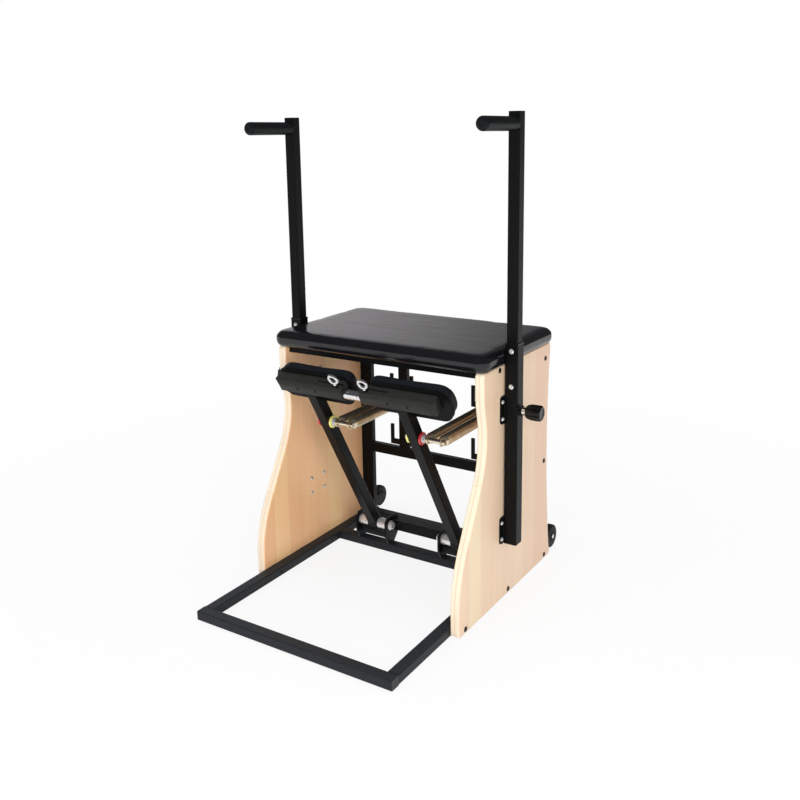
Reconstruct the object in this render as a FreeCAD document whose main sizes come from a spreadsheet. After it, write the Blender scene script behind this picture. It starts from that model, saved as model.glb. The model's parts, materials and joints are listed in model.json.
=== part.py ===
"""A pilates chair: wooden side panels, a padded seat, two sprung pedals and two sliding handle posts.

The frame has +Z up and +X across the chair, with the pedals towards -Y. The origin is on the floor,
under the middle of the chair's box. Every size is in millimetres and sits in the sheet "sizes".
"""
import FreeCAD
import Part
import Sketcher
import math
import os
import re

Vector = FreeCAD.Vector
Rotation = FreeCAD.Rotation

SIZES = {
    # Shared clearances and the overrun of every cut
    "overrun": 2,
    "running_gap": 0.05,
    "moving_gap": 0.4,
    "screw_gap": 0.1,
    # Wooden side panels: a reach is measured forwards from the foot's rear corner
    "inside_half": 291,
    "panel_thickness": 25,
    "panel_height": 627,
    "panel_edge_round": 4,
    "foot_reach": 537,
    "foot_upright_share": 0.0957,
    "foot_radius_share": 0.5072,
    "shin_angle": 28.2,
    "shin_length_share": 0.2472,
    "waist_radius_share": 0.3828,
    "hip_angle": 13.3,
    "hip_radius_share": 0.4785,
    "panel_corner": 10,
    "rear_top_reach": 15,
    "rear_radius": 2300,
    # Panel screws, sunk in counterbores
    "screw_radius": 3,
    "screw_head_radius": 6,
    "screw_head_height": 3.5,
    "screw_sink_radius": 7,
    "screw_sink_depth": 5,
    "screw_length": 30,
    "upright_screw_reach": 51,
    "upright_screw_drop": 38,
    "upright_screw_low": 297,
    "board_screw_reach": 328,
    "foot_screw_rear": 39,
    "foot_screw_middle": 271,
    "foot_screw_front": 505,
    # Seat
    "seat_board_thickness": 18,
    "seat_board_front": 395,
    "seat_board_rear": 30,
    "seat_half_width": 331,
    "seat_front": 428,
    "seat_rear": 8,
    "seat_height": 45,
    "seat_corner": 28,
    "seat_notch_gap": 0.5,
    # Floor frame of rectangular tube
    "tube_wide": 30,
    "tube_tall": 25,
    "tube_wall": 2,
    "tube_corner": 3,
    "end_cap_thickness": 4,
    "frame_reach": 795,
    "side_tube_rear": 24,
    "cross_tube_reach": 231,
    # Rear frame
    "upright_wide": 40,
    "upright_deep": 20,
    "upright_reach": 63,
    "middle_bar_height": 226,
    "middle_bar_tall": 30,
    "top_bar_tall": 25,
    "spring_post_wide": 30,
    # Spring hooks on the rear posts
    "hook_thickness": 6,
    "hook_web_tall": 16,
    "hook_prong_wide": 10,
    "hook_rise": 46,
    "hook_short_rise": 16,
    "hook_web_drop": 6.2,
    "hook_lower_share": 0.15,
    # Pedal pivots
    "arm_x": 138,
    "pivot_reach": 221,
    "pivot_height": 80,
    "lean_angle": 30,
    "cheek_thickness": 6,
    "cheek_offset": 47,
    "cheek_top": 105,
    "cheek_shoulder": 92,
    "cheek_hip": 50,
    "cheek_front_overhang": 12,
    "cheek_rear_overhang": 23,
    "cheek_corner": 11,
    "bracket_bar_height": 40,
    "bracket_bar_tall": 16,
    "bracket_bar_inset": 4,
    "beam_reach": 205,
    "beam_height": 60,
    "beam_side": 30,
    "axle_radius": 6,
    "axle_head_radius": 11,
    "axle_head_height": 8,
    "washer_radius": 14,
    "washer_height": 2,
    "spacer_radius": 15,
    # Pedal arms and heads, measured along each arm from its pivot
    "arm_wide": 30,
    "arm_wall": 2.5,
    "arm_length": 531,
    "arm_boss_radius": 17,
    "rail_inner": 28,
    "rail_outer": 238,
    "rail_tall": 44,
    "rail_front": 22,
    "rail_flat": 14,
    "rail_bevel": 11,
    "rail_end_bevel": 14,
    "board_inner": 24,
    "board_outer": 262,
    "board_drop": 45,
    "board_tall": 92,
    "board_thickness": 12,
    "pad_height": 33,
    "pad_corner": 36,
    # Link dowel and its lock pins
    "dowel_radius": 13.5,
    "dowel_rise": 18,
    "dowel_forward": 4,
    "dowel_hidden": 60,
    "dowel_bore_depth": 66,
    "dowel_end_chamfer": 2,
    "lock_x": 44.5,
    "lock_forward": 8,
    "lock_radius": 3.5,
    "lock_neck": 8,
    "lock_ring_radius": 12,
    "lock_ring_wire": 3,
    # Spring pins, coloured caps and springs
    "pin_drop": 107,
    "pin_radius": 6,
    "pin_head_radius": 11,
    "pin_head_height": 5,
    "cap_radius": 17,
    "cap_thickness": 6,
    "cap_edge_round": 2,
    "spring_first": 35,
    "spring_second": 73,
    "eye_radius": 11,
    "eye_wide": 12,
    "plug_radius": 13.5,
    "plug_length": 14,
    "neck_radius": 4.5,
    "neck_length": 8,
    "hook_eye_wide": 24,
    "hook_eye_deep": 22,
    "hook_eye_tall": 10,
    "hook_eye_gap": 0.75,
    "coil_radius": 11,
    "wire_radius": 1.75,
    # Handle posts in their sleeves
    "plate_thickness": 3.5,
    "plate_side": 72,
    "plate_corner": 8,
    "plate_drop": 113,
    "plate_low": 194,
    "sleeve_wide": 35,
    "sleeve_wall": 1.5,
    "sleeve_corner": 3,
    "sleeve_bottom": 157,
    "sleeve_floor": 4,
    "sleeve_rise": 53,
    "post_reach": 290,
    "post_wide": 30,
    "post_wall": 2,
    "post_corner": 3,
    "post_top": 1238,
    "guide_upper_length": 125,
    "guide_lower_length": 60,
    "guide_lip": 3,
    "bolt_radius": 3,
    "bolt_head_radius": 5.5,
    "bolt_head_height": 4,
    "bolt_spread": 58,
    "bolt_rise": 44,
    "guide_screw_radius": 2.5,
    "guide_screw_head_radius": 5,
    "guide_screw_head_height": 2.5,
    "guide_screw_drop": 16,
    "guide_screw_pitch": 90,
    "handle_drop": 29,
    "handle_tip": 470,
    "handle_bar_radius": 11,
    "handle_bar_wall": 2,
    "grip_radius": 17,
    "grip_round": 9,
    # Clamp knobs on the sleeves
    "knob_drop": 115,
    "knob_collar_radius": 11,
    "knob_collar_length": 18,
    "knob_stud_radius": 5,
    "knob_radius": 20,
    "knob_length": 40,
    "knob_flute_radius": 3.5,
    "knob_edge": 3,
    # Transport wheels behind the panels
    "wheel_radius": 33.5,
    "wheel_wide": 22,
    "wheel_inner": 288,
    "wheel_set_back": 36,
    "wheel_height": 36,
    "wheel_edge_round": 5,
    "wheel_hub_radius": 14,
    "wheel_hub_recess": 2,
    "wheel_plate_thickness": 5,
    "wheel_plate_radius": 15,
    "wheel_axle_radius": 6,
    "wheel_axle_head": 10,
    "wheel_axle_head_height": 3,
}

SPRING_TURNS = 24
POINTS_PER_TURN = 48
KNOB_FLUTES = 8
QUARTER_TURN = 90
SIXTH_TURN = 60
SAME_PLACE = 1e-6

# Sections of the soft forms from the underside up: shares of the height, then insets as shares of the height
SEAT_SECTION_SHARES = [
    (0, 0.14), (0.09, 0.03), (0.3, 0), (0.6, 0), (0.78, 0.07), (0.9, 0.22), (0.96, 0.55), (1, 2.4),
]
PAD_SECTION_SHARES = [
    (0, 0.12), (0.12, 0.02), (0.35, 0), (0.55, 0.02), (0.75, 0.12), (0.9, 0.32), (0.97, 0.6), (1, 1.1),
]
LEAST_CORNER_SHARE = 0.25

doc = FreeCAD.newDocument("pilates_chair")
sheet = doc.addObject("Spreadsheet::Sheet", "sizes")
for row, (alias, amount) in enumerate(SIZES.items(), 1):
    sheet.set(f"A{row}", alias)
    sheet.set(f"B{row}", str(amount))
    sheet.setAlias(f"B{row}", alias)
doc.recompute()

WORD = re.compile(r"[a-z][a-z_0-9]*")
nodes = {}


def bound(formula):
    """The formula with each size's name pointing at its cell of the sheet."""
    return WORD.sub(lambda word: f"sizes.{word[0]}" if word[0] in SIZES else word[0], formula)


def number(formula):
    """The value of a formula of sizes."""
    return float(sheet.evalExpression(formula))


def reach(formula):
    """The Y of a point this far in front of the side panels' rear foot corner."""
    return f"(frame_reach - wheel_set_back - wheel_radius) / 2 - ({formula})"


# Places that pieces share
POST_X = "inside_half + panel_thickness + plate_thickness + sleeve_wide / 2"
POST_Y = reach("post_reach")
POST_BOTTOM = "sleeve_bottom + sleeve_floor"
HANDLE_Z = "post_top - handle_drop"
SLEEVE_TOP = "panel_height + sleeve_rise"
KNOB_Z = "panel_height - knob_drop"
PLATE_LEVELS = {"high": "panel_height - plate_drop", "low": "plate_low"}
SLEEVE_BOLT_PLACES = [
    (reach(f"post_reach {along} bolt_spread / 2"), f"{level} {up} bolt_rise / 2")
    for level in PLATE_LEVELS.values() for along in "+-" for up in "+-"
]
BOARD_MIDDLE = "panel_height - seat_board_thickness / 2"
PANEL_SCREW_PLACES = [
    (reach("upright_screw_reach"), "panel_height - upright_screw_drop"),
    (reach("upright_screw_reach"), "upright_screw_low"),
    (reach("board_screw_reach"), BOARD_MIDDLE),
    (reach("foot_screw_rear"), "tube_tall / 2"),
    (reach("foot_screw_middle"), "tube_tall / 2"),
    (reach("foot_screw_front"), "tube_tall / 2"),
]
SCREW_SEAT = "inside_half + panel_thickness - screw_sink_depth"
GUIDE_SCREW_TOP = f"{SLEEVE_TOP} - guide_screw_drop"
GUIDE_SCREW_HEIGHTS = [GUIDE_SCREW_TOP, f"{GUIDE_SCREW_TOP} - guide_screw_pitch"]
UPRIGHT_Y = reach("upright_reach - upright_deep / 2")
FRAME_TOP = "panel_height - seat_board_thickness"
PIN_ALONG = "(arm_length - pin_drop)"
DOWEL_ALONG = "arm_length + dowel_rise"
PIN_Y = reach(f"pivot_reach + {PIN_ALONG} * sin(lean_angle)")
PIN_Z = f"pivot_height + {PIN_ALONG} * cos(lean_angle)"
HOOK_Y = reach("upright_reach + hook_thickness / 2")
COIL_START = "eye_radius + neck_length + plug_length"
COIL_END = "hook_eye_deep / 2 + neck_length + plug_length"


def bind(item, **formulas):
    """Tie properties of an object to the sheet."""
    for name, formula in formulas.items():
        item.setExpression(name, bound(formula))
    return item


# Turns that lay a piece made along +Z on another axis
RUN = {
    "x": Rotation(Vector(0, 1, 0), QUARTER_TURN),
    "y": Rotation(Vector(1, 0, 0), -QUARTER_TURN),
    "z": Rotation(),
    "upright": Rotation(Vector(1, 0, 0), QUARTER_TURN),
}


def place(item, x="0", y="0", z="0", run="z"):
    """Set an object's turn and tie its place to the sheet."""
    item.Placement = FreeCAD.Placement(Vector(), RUN[run])
    return bind(item, **{".Placement.Base.x": x, ".Placement.Base.y": y, ".Placement.Base.z": z})


def place_on_arm(item):
    """Put a piece drawn in the arm's own frame (Z along the arm, -Y forwards) at the leaning pivot."""
    item.Placement = FreeCAD.Placement(Vector(), Rotation(Vector(1, 0, 0), number("lean_angle")))
    bind(item, **{".Placement.Rotation.Angle": "lean_angle"})
    return bind(item, **{".Placement.Base.y": reach("pivot_reach"), ".Placement.Base.z": "pivot_height"})


def keep(item):
    """Hand an object in as the node named by its Label."""
    nodes[item.Label] = item
    return item


def rod(name, radius, length, run="z", x="0", y="0", z="0"):
    """A cylinder that runs along an axis from the given point."""
    item = bind(doc.addObject("Part::Cylinder", name), Radius=radius, Height=length)
    return place(item, x, y, z, run)


def block(name, wide, deep, tall, x="0", y="0", z="0"):
    """A box given by its sizes and its low corner."""
    item = bind(doc.addObject("Part::Box", name), Length=wide, Width=deep, Height=tall)
    return place(item, x, y, z)


def fused(name, pieces):
    """Pieces joined into one solid."""
    item = doc.addObject("Part::MultiFuse", name)
    item.Shapes = pieces
    return item


def group(name, pieces):
    """Separate solids kept as one node."""
    item = doc.addObject("Part::Compound", name)
    item.Links = pieces
    return item


def cut(name, base, tools):
    """A base with tools taken out of it."""
    item = doc.addObject("Part::Cut", name)
    item.Base = base
    item.Tool = tools[0] if len(tools) == 1 else fused(name + "_tools", tools)
    return item


def twin(name, source):
    """The mirror image of a piece on the chair's other side."""
    item = doc.addObject("Part::Mirroring", name)
    item.Source = source
    item.Normal = Vector(1, 0, 0)
    return item


def new_sketch(body, name, role="XY_Plane"):
    """An empty sketch on one of the body's own planes."""
    sketch = body.newObject("Sketcher::SketchObject", name)
    plane = next(item for item in body.Origin.OriginFeatures if item.Role == role)
    sketch.AttachmentSupport = (plane, [""])
    sketch.MapMode = "FlatFace"
    return sketch


def edge_between(start, end, bend):
    """A straight edge, or an arc of a radius that bulges to the left (1) or right (-1) of the way."""
    if bend is None:
        return Part.LineSegment(start, end)
    radius = number(bend[0])
    chord = end - start
    rise = radius - math.sqrt(radius ** 2 - (chord.Length / 2) ** 2)
    left = Vector(-chord.y, chord.x, 0).normalize()
    return Part.Arc(start, (start + end) / 2 + left * (rise * bend[1]), end)


def draw(sketch, corners):
    """Draw a closed outline: corners are two formulas and, where an arc starts, its radius and side."""
    spots = [Vector(number(corner[0]), number(corner[1]), 0) for corner in corners]
    ends = []
    for place_in_loop, corner in enumerate(corners):
        start = spots[place_in_loop]
        end = spots[(place_in_loop + 1) % len(spots)]
        bend = corner[2] if len(corner) > 2 else None
        edge = sketch.addGeometry(edge_between(start, end, bend), False)
        near, far = [sketch.getPoint(edge, side).distanceToPoint(start) for side in (1, 2)]
        forwards = near < far
        ends.append((edge, 1 if forwards else 2, 2 if forwards else 1))
        for kind, formula, value in (("DistanceX", corner[0], start.x), ("DistanceY", corner[1], start.y)):
            rule = sketch.addConstraint(Sketcher.Constraint(kind, -1, 1, edge, ends[-1][1], value))
            sketch.setExpression(f"Constraints[{rule}]", bound(formula))
        if bend is not None:
            rule = sketch.addConstraint(Sketcher.Constraint("Radius", edge, number(bend[0])))
            sketch.setExpression(f"Constraints[{rule}]", bound(bend[0]))
    for (edge, _, far), (following, near, _) in zip(ends, ends[1:] + ends[:1]):
        sketch.addConstraint(Sketcher.Constraint("Coincident", edge, far, following, near))


def rectangle(wide, deep):
    """Corners of a rectangle round the origin."""
    half_wide = f"({wide}) / 2"
    half_deep = f"({deep}) / 2"
    return [(f"-{half_wide}", f"-{half_deep}"), (half_wide, f"-{half_deep}"), (half_wide, half_deep),
            (f"-{half_wide}", half_deep)]


def padded(name, loops, length, role="XY_Plane"):
    """A body padded from one sketch of closed loops."""
    body = doc.addObject("PartDesign::Body", name)
    sketch = new_sketch(body, name + "_section", role)
    for loop in loops:
        draw(sketch, loop)
    pad = body.newObject("PartDesign::Pad", name + "_pad")
    pad.Profile = sketch
    bind(pad, Length=length)
    doc.recompute()
    return body


def round_bar(name, radii, length):
    """A body padded along its own Z axis from circles round that axis."""
    body = doc.addObject("PartDesign::Body", name)
    sketch = new_sketch(body, name + "_section")
    for radius in radii:
        circle = sketch.addGeometry(Part.Circle(Vector(), Vector(0, 0, 1), number(radius)), False)
        sketch.addConstraint(Sketcher.Constraint("Coincident", circle, 3, -1, 1))
        rule = sketch.addConstraint(Sketcher.Constraint("Radius", circle, number(radius)))
        sketch.setExpression(f"Constraints[{rule}]", bound(radius))
    pad = body.newObject("PartDesign::Pad", name + "_pad")
    pad.Profile = sketch
    bind(pad, Length=length)
    doc.recompute()
    return body


def round_edges(body, radius, wanted, kind="Fillet"):
    """Round or bevel those edges of the body's last feature that the test picks."""
    base = body.Tip
    picked = [f"Edge{index}" for index, edge in enumerate(base.Shape.Edges, 1) if wanted(edge)]
    feature = body.newObject(f"PartDesign::{kind}", f"{body.Name}_{kind.lower()}")
    feature.Base = (base, picked)
    bind(feature, **{"Radius" if kind == "Fillet" else "Size": radius})
    doc.recompute()
    return body


def runs_along(edge, axis):
    """Whether an edge is straight and parallel to an axis."""
    return isinstance(edge.Curve, Part.Line) and abs(abs(edge.Curve.Direction.dot(axis)) - 1) < SAME_PLACE


def is_rim(edge, least_radius=0):
    """Whether an edge is a circle larger than a radius."""
    return isinstance(edge.Curve, Part.Circle) and edge.Curve.Radius > least_radius


def tube(name, wide, deep, length, wall, corner):
    """A rectangular tube along its own Z axis, with its four outer corners rounded."""
    inner = rectangle(f"{wide} - 2 * {wall}", f"{deep} - 2 * {wall}")
    body = padded(name, [rectangle(wide, deep), inner], length)
    edge_of_wall = number(f"{wide} / 2 - {wall} / 2")

    def outer(edge):
        return runs_along(edge, Vector(0, 0, 1)) and abs(edge.CenterOfMass.x) > edge_of_wall

    return round_edges(body, corner, outer)


def rounded_plate(name, wide, deep, thickness, corner):
    """A plate round its own Z axis with rounded corners."""
    body = padded(name, [rectangle(wide, deep)], thickness)
    return round_edges(body, corner, lambda edge: runs_along(edge, Vector(0, 0, 1)))


def side_panels():
    """The two wooden sides, with a waisted front edge, bolt holes and sunk screw holes."""
    foot_upright = "panel_height * foot_upright_share"
    foot_radius = "panel_height * foot_radius_share"
    shin_length = "panel_height * shin_length_share"
    waist_radius = "panel_height * waist_radius_share"
    hip_radius = "panel_height * hip_radius_share"
    shin_reach = f"foot_reach - {foot_radius} * (1 - cos(shin_angle))"
    shin_height = f"{foot_upright} + {foot_radius} * sin(shin_angle)"
    knee_reach = f"{shin_reach} - {shin_length} * sin(shin_angle)"
    knee_height = f"{shin_height} + {shin_length} * cos(shin_angle)"
    hip_reach = f"{knee_reach} - {waist_radius} * (cos(hip_angle) - cos(shin_angle))"
    hip_height = f"{knee_height} + {waist_radius} * (sin(shin_angle) + sin(hip_angle))"
    shoulder_reach = f"{hip_reach} + {hip_radius} * (1 - cos(hip_angle))"
    corners = [
        (reach("0"), "0"),
        (reach("foot_reach"), "0"),
        (reach("foot_reach"), foot_upright, (foot_radius, 1)),
        (reach(shin_reach), shin_height),
        (reach(knee_reach), knee_height, (waist_radius, -1)),
        (reach(hip_reach), hip_height, (hip_radius, 1)),
        (reach(shoulder_reach), f"{hip_height} + {hip_radius} * sin(hip_angle)"),
        (reach(shoulder_reach), "panel_height"),
        (reach("rear_top_reach"), "panel_height", ("rear_radius", -1)),
    ]
    blank = padded("panel_blank", [corners], "panel_thickness", "YZ_Plane")
    bottom = 0
    top = number("panel_height")

    def corner(edge):
        level = any(abs(edge.CenterOfMass.z - height) < SAME_PLACE for height in (bottom, top))
        return level and runs_along(edge, Vector(1, 0, 0))

    round_edges(blank, "panel_corner", corner)
    round_edges(blank, "panel_edge_round", lambda edge: not runs_along(edge, Vector(1, 0, 0)))
    place(blank, "inside_half")
    tools = []
    for index, (spot, height) in enumerate(SLEEVE_BOLT_PLACES):
        tools.append(rod(f"panel_bolt_hole_{index}", "bolt_radius + screw_gap", "panel_thickness + 2 * overrun",
                         "x", "inside_half - overrun", spot, height))
    for index, (spot, height) in enumerate(PANEL_SCREW_PLACES):
        tools.append(rod(f"panel_screw_hole_{index}", "screw_radius + screw_gap", "panel_thickness + 2 * overrun",
                         "x", "inside_half - overrun", spot, height))
        tools.append(rod(f"panel_sink_{index}", "screw_sink_radius", "screw_sink_depth + overrun", "x",
                         "inside_half + panel_thickness - screw_sink_depth", spot, height))
    right = keep(cut("right_side_panel", blank, tools))
    keep(twin("left_side_panel", right))


def screw_hole(name, spot):
    """A hole in the frame for the end of a panel screw."""
    return rod(name, "screw_radius + screw_gap", "screw_length + 2 * overrun", "x",
               "inside_half - screw_length", *spot)


def panel_screws():
    """Pan-head screws that hold the panels to the frame and the seat board."""
    screws = []
    for index, spot in enumerate(PANEL_SCREW_PLACES):
        shank = rod(f"screw_shank_{index}", "screw_radius", "screw_length + screw_head_height", "x",
                    f"{SCREW_SEAT} - screw_length", *spot)
        head = rod(f"screw_head_{index}", "screw_head_radius", "screw_head_height", "x", SCREW_SEAT, *spot)
        right = fused(f"right_screw_{index}", [shank, head])
        screws += [right, twin(f"left_screw_{index}", right)]
    keep(group("panel_screws", screws))


def rounded_loop(half_wide, half_deep, corner, height):
    """A closed wire round the Z axis: four lines and four quarter arcs at one height."""
    edges = []
    straight_wide = half_wide - corner
    straight_deep = half_deep - corner
    for turn in range(4):
        along, across = (straight_wide, straight_deep) if turn % 2 == 0 else (straight_deep, straight_wide)
        middle = Vector(along, -across, 0)
        slant = corner * math.sqrt(0.5)
        line = Part.LineSegment(Vector(-along, -across - corner, height), Vector(along, -across - corner, height))
        arc = Part.Arc(middle + Vector(0, -corner, height), middle + Vector(slant, -slant, height),
                       middle + Vector(corner, 0, height))
        for curve in (line, arc):
            shape = curve.toShape()
            shape.rotate(Vector(), Vector(0, 0, 1), QUARTER_TURN * turn)
            edges.append(shape)
    return Part.Wire(edges)


def soft_block(wide, deep, height, corner, section_shares):
    """A cushion with drawn-in sides and a crowned top, standing on the XY plane round the Z axis."""
    loops = []
    for height_share, inset_share in section_shares:
        inset = inset_share * height
        round_here = max(corner - inset, corner * LEAST_CORNER_SHARE)
        loops.append(rounded_loop(wide / 2 - inset, deep / 2 - inset, round_here, height_share * height))
    return Part.makeLoft(loops, True, True)


def seat():
    """The board between the panels and the padded seat on top of it, notched round the post sleeves."""
    board = block("seat_board_blank", "2 * inside_half", "seat_board_front - seat_board_rear",
                  "seat_board_thickness", "-inside_half", reach("seat_board_front"),
                  "panel_height - seat_board_thickness")
    right_hole = screw_hole("seat_board_hole", PANEL_SCREW_PLACES[2])
    keep(cut("seat_board", board, [right_hole, twin("seat_board_left_hole", right_hole)]))
    cushion = doc.addObject("Part::Feature", "seat_form")
    cushion.Shape = soft_block(number("2 * seat_half_width"), number("seat_front - seat_rear"),
                               number("seat_height"), number("seat_corner"), SEAT_SECTION_SHARES)
    place(cushion, "0", reach("(seat_front + seat_rear) / 2"), "panel_height")
    notch_side = "sleeve_wide + 2 * seat_notch_gap"
    notch = block("seat_notch", notch_side, notch_side, "seat_height + 2 * overrun",
                  f"{POST_X} - ({notch_side}) / 2", f"{POST_Y} - ({notch_side}) / 2", "panel_height - overrun")
    keep(cut("seat_cushion", cushion, [notch, twin("seat_left_notch", notch)]))


def floor_frame():
    """The tubes on the floor: front, sides, a cross tube under the pedals and a rear bar."""
    inner_half = "inside_half - tube_wide"
    front = tube("base_front_tube", "tube_tall", "tube_wide", "2 * inside_half", "tube_wall", "tube_corner")
    keep(place(front, "-inside_half", reach("frame_reach - tube_wide / 2"), "tube_tall / 2", "x"))
    side = tube("side_tube_blank", "tube_wide", "tube_tall", "frame_reach - tube_wide - side_tube_rear",
                "tube_wall", "tube_corner")
    place(side, "inside_half - tube_wide / 2", reach("frame_reach - tube_wide"), "tube_tall / 2", "y")
    holes = [screw_hole(f"side_tube_hole_{index}", spot) for index, spot in enumerate(PANEL_SCREW_PLACES[3:])]
    right = keep(cut("base_right_tube", side, holes))
    keep(twin("base_left_tube", right))
    for name, spot in (("base_cross_tube", "cross_tube_reach"), ("base_rear_tube", "side_tube_rear + tube_wide")):
        cross = tube(name, "tube_tall", "tube_wide", f"2 * ({inner_half})", "tube_wall", "tube_corner")
        keep(place(cross, f"-({inner_half})", reach(f"{spot} - tube_wide / 2"), "tube_tall / 2", "x"))
    cap_deep = "tube_wide - 2 * tube_wall"
    right_cap = block("right_end_cap", "end_cap_thickness", cap_deep, "tube_tall - 2 * tube_wall",
                      "inside_half - end_cap_thickness", reach("frame_reach - tube_wall"), "tube_wall")
    keep(group("front_tube_caps", [right_cap, twin("left_end_cap", right_cap)]))


def rear_frame():
    """Uprights, two bars between them and the two posts that carry the spring hooks."""
    upright = tube("upright_blank", "upright_wide", "upright_deep", f"{FRAME_TOP} - tube_tall", "tube_wall",
                   "tube_corner")
    place(upright, "inside_half - upright_wide / 2", UPRIGHT_Y, "tube_tall")
    holes = [screw_hole(f"upright_hole_{index}", spot) for index, spot in enumerate(PANEL_SCREW_PLACES[:2])]
    right = keep(cut("right_upright", upright, holes))
    keep(twin("left_upright", right))
    inner_half = "inside_half - upright_wide"
    bars = (("rear_middle_bar", "middle_bar_tall", "middle_bar_height"),
            ("rear_top_bar", "top_bar_tall", f"{FRAME_TOP} - top_bar_tall"))
    for name, tall, bottom in bars:
        bar = tube(name, tall, "upright_deep", f"2 * ({inner_half})", "tube_wall", "tube_corner")
        keep(place(bar, f"-({inner_half})", UPRIGHT_Y, f"{bottom} + {tall} / 2", "x"))
    foot = "middle_bar_height + middle_bar_tall"
    post = tube("right_spring_post", "spring_post_wide", "upright_deep", f"{FRAME_TOP} - top_bar_tall - ({foot})",
                "tube_wall", "tube_corner")
    keep(place(post, "arm_x", UPRIGHT_Y, foot))
    keep(twin("left_spring_post", post))


def hook_plates():
    """Flat plates with upturned prongs, two on each spring post, that the springs hang on."""
    half = "hook_prong_wide / 2"
    web = "hook_web_tall"
    tip = "hook_web_tall + hook_rise"
    short_tip = "hook_web_tall + hook_short_rise"
    outline = [(f"-spring_first - {half}", "0"), (f"spring_second + {half}", "0")]
    for middle, top in (("spring_second", short_tip), ("spring_first", tip), ("-spring_first", tip)):
        outline += [(f"{middle} + {half}", top), (f"{middle} - {half}", top)]
        if middle != "-spring_first":
            outline.append((f"{middle} - {half}", web))
            following = "spring_first" if middle == "spring_second" else "-spring_first"
            outline.append((f"{following} + {half}", web))
    plates = []
    foot = "middle_bar_height + middle_bar_tall"
    upper = f"{PIN_Z} - hook_web_drop"
    lower = f"{foot} + ({upper} - ({foot})) * hook_lower_share"
    for side in ("arm_x", "-arm_x"):
        for level in (upper, lower):
            plate = padded(f"hook_plate_{len(plates)}", [outline], "hook_thickness")
            plates.append(place(plate, side, reach("upright_reach"), f"{level} - hook_web_tall", "upright"))
    keep(group("hook_plates", plates))


def pivot_brackets():
    """Welded brackets on the cross tube: two cheeks and a bar under each pedal arm, and a beam between."""
    front = "cross_tube_reach"
    rear = "cross_tube_reach - tube_wide"
    outline = [
        (reach(rear), "tube_tall"),
        (reach(front), "tube_tall"),
        (reach(f"{front} + cheek_front_overhang"), "cheek_hip"),
        (reach(f"{front} + cheek_front_overhang"), "cheek_shoulder"),
        (reach(f"{front} + cheek_front_overhang - cheek_corner"), "cheek_top"),
        (reach(f"{rear} - cheek_rear_overhang + cheek_corner"), "cheek_top"),
        (reach(f"{rear} - cheek_rear_overhang"), "cheek_shoulder"),
        (reach(f"{rear} - cheek_rear_overhang"), "cheek_hip"),
    ]
    inner = padded("inner_cheek", [outline], "cheek_thickness", "YZ_Plane")
    place(inner, "arm_x - cheek_offset - cheek_thickness")
    outer = padded("outer_cheek", [outline], "cheek_thickness", "YZ_Plane")
    place(outer, "arm_x + cheek_offset")
    bar = block("bracket_bar", "2 * cheek_offset", "tube_wide - 2 * bracket_bar_inset", "bracket_bar_tall",
                "arm_x - cheek_offset", reach(f"{front} - bracket_bar_inset"), "bracket_bar_height")
    bore = rod("bracket_bore", "axle_radius + screw_gap", "2 * (cheek_offset + cheek_thickness + overrun)", "x",
               "arm_x - cheek_offset - cheek_thickness - overrun", reach("pivot_reach"), "pivot_height")
    right = keep(cut("right_pivot_bracket", fused("bracket_blank", [inner, outer, bar]), [bore]))
    keep(twin("left_pivot_bracket", right))
    half_beam = "arm_x - cheek_offset - cheek_thickness"
    beam = tube("pivot_beam", "beam_side", "beam_side", f"2 * ({half_beam})", "tube_wall", "tube_corner")
    keep(place(beam, f"-({half_beam})", reach("beam_reach - beam_side / 2"), "beam_height + beam_side / 2", "x"))


def hexagon(radius):
    """Corners of a hexagon round the origin."""
    turns = [SIXTH_TURN * corner for corner in range(6)]
    return [(f"({radius}) * cos({turn})", f"({radius}) * sin({turn})") for turn in turns]


def pivot_axles():
    """The bolts that the pedal arms turn on, with nuts, washers and spacer sleeves."""
    pivot = (reach("pivot_reach"), "pivot_height")
    inner_face = "arm_x - cheek_offset - cheek_thickness"
    outer_face = "arm_x + cheek_offset + cheek_thickness"
    shank = rod("axle_shank", "axle_radius", f"{outer_face} - ({inner_face}) + washer_height + axle_head_height",
                "x", f"{inner_face} - washer_height - axle_head_height", *pivot)
    nut = padded("axle_nut", [hexagon("axle_head_radius")], "axle_head_height")
    place(nut, f"{inner_face} - washer_height - axle_head_height", *pivot, "x")
    washer = rod("axle_washer", "washer_radius", "washer_height", "x", f"{inner_face} - washer_height", *pivot)
    head = padded("axle_head", [hexagon("axle_head_radius")], "axle_head_height")
    place(head, outer_face, *pivot, "x")
    right = fused("right_axle", [shank, nut, washer, head])
    keep(group("pivot_axles", [right, twin("left_axle", right)]))
    spacers = []
    long = "cheek_offset - arm_wide / 2 - moving_gap"
    starts = (("inner", "arm_x - cheek_offset"), ("outer", "arm_x + arm_wide / 2 + moving_gap"))
    for name, start in starts:
        barrel = rod(f"{name}_barrel", "spacer_radius", long, "x", start, *pivot)
        bore = rod(f"{name}_bore", "axle_radius + screw_gap", f"{long} + 2 * overrun", "x",
                   f"{start} - overrun", *pivot)
        right = cut(f"right_{name}_spacer", barrel, [bore])
        spacers += [right, twin(f"left_{name}_spacer", right)]
    keep(group("pivot_spacers", spacers))


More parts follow.
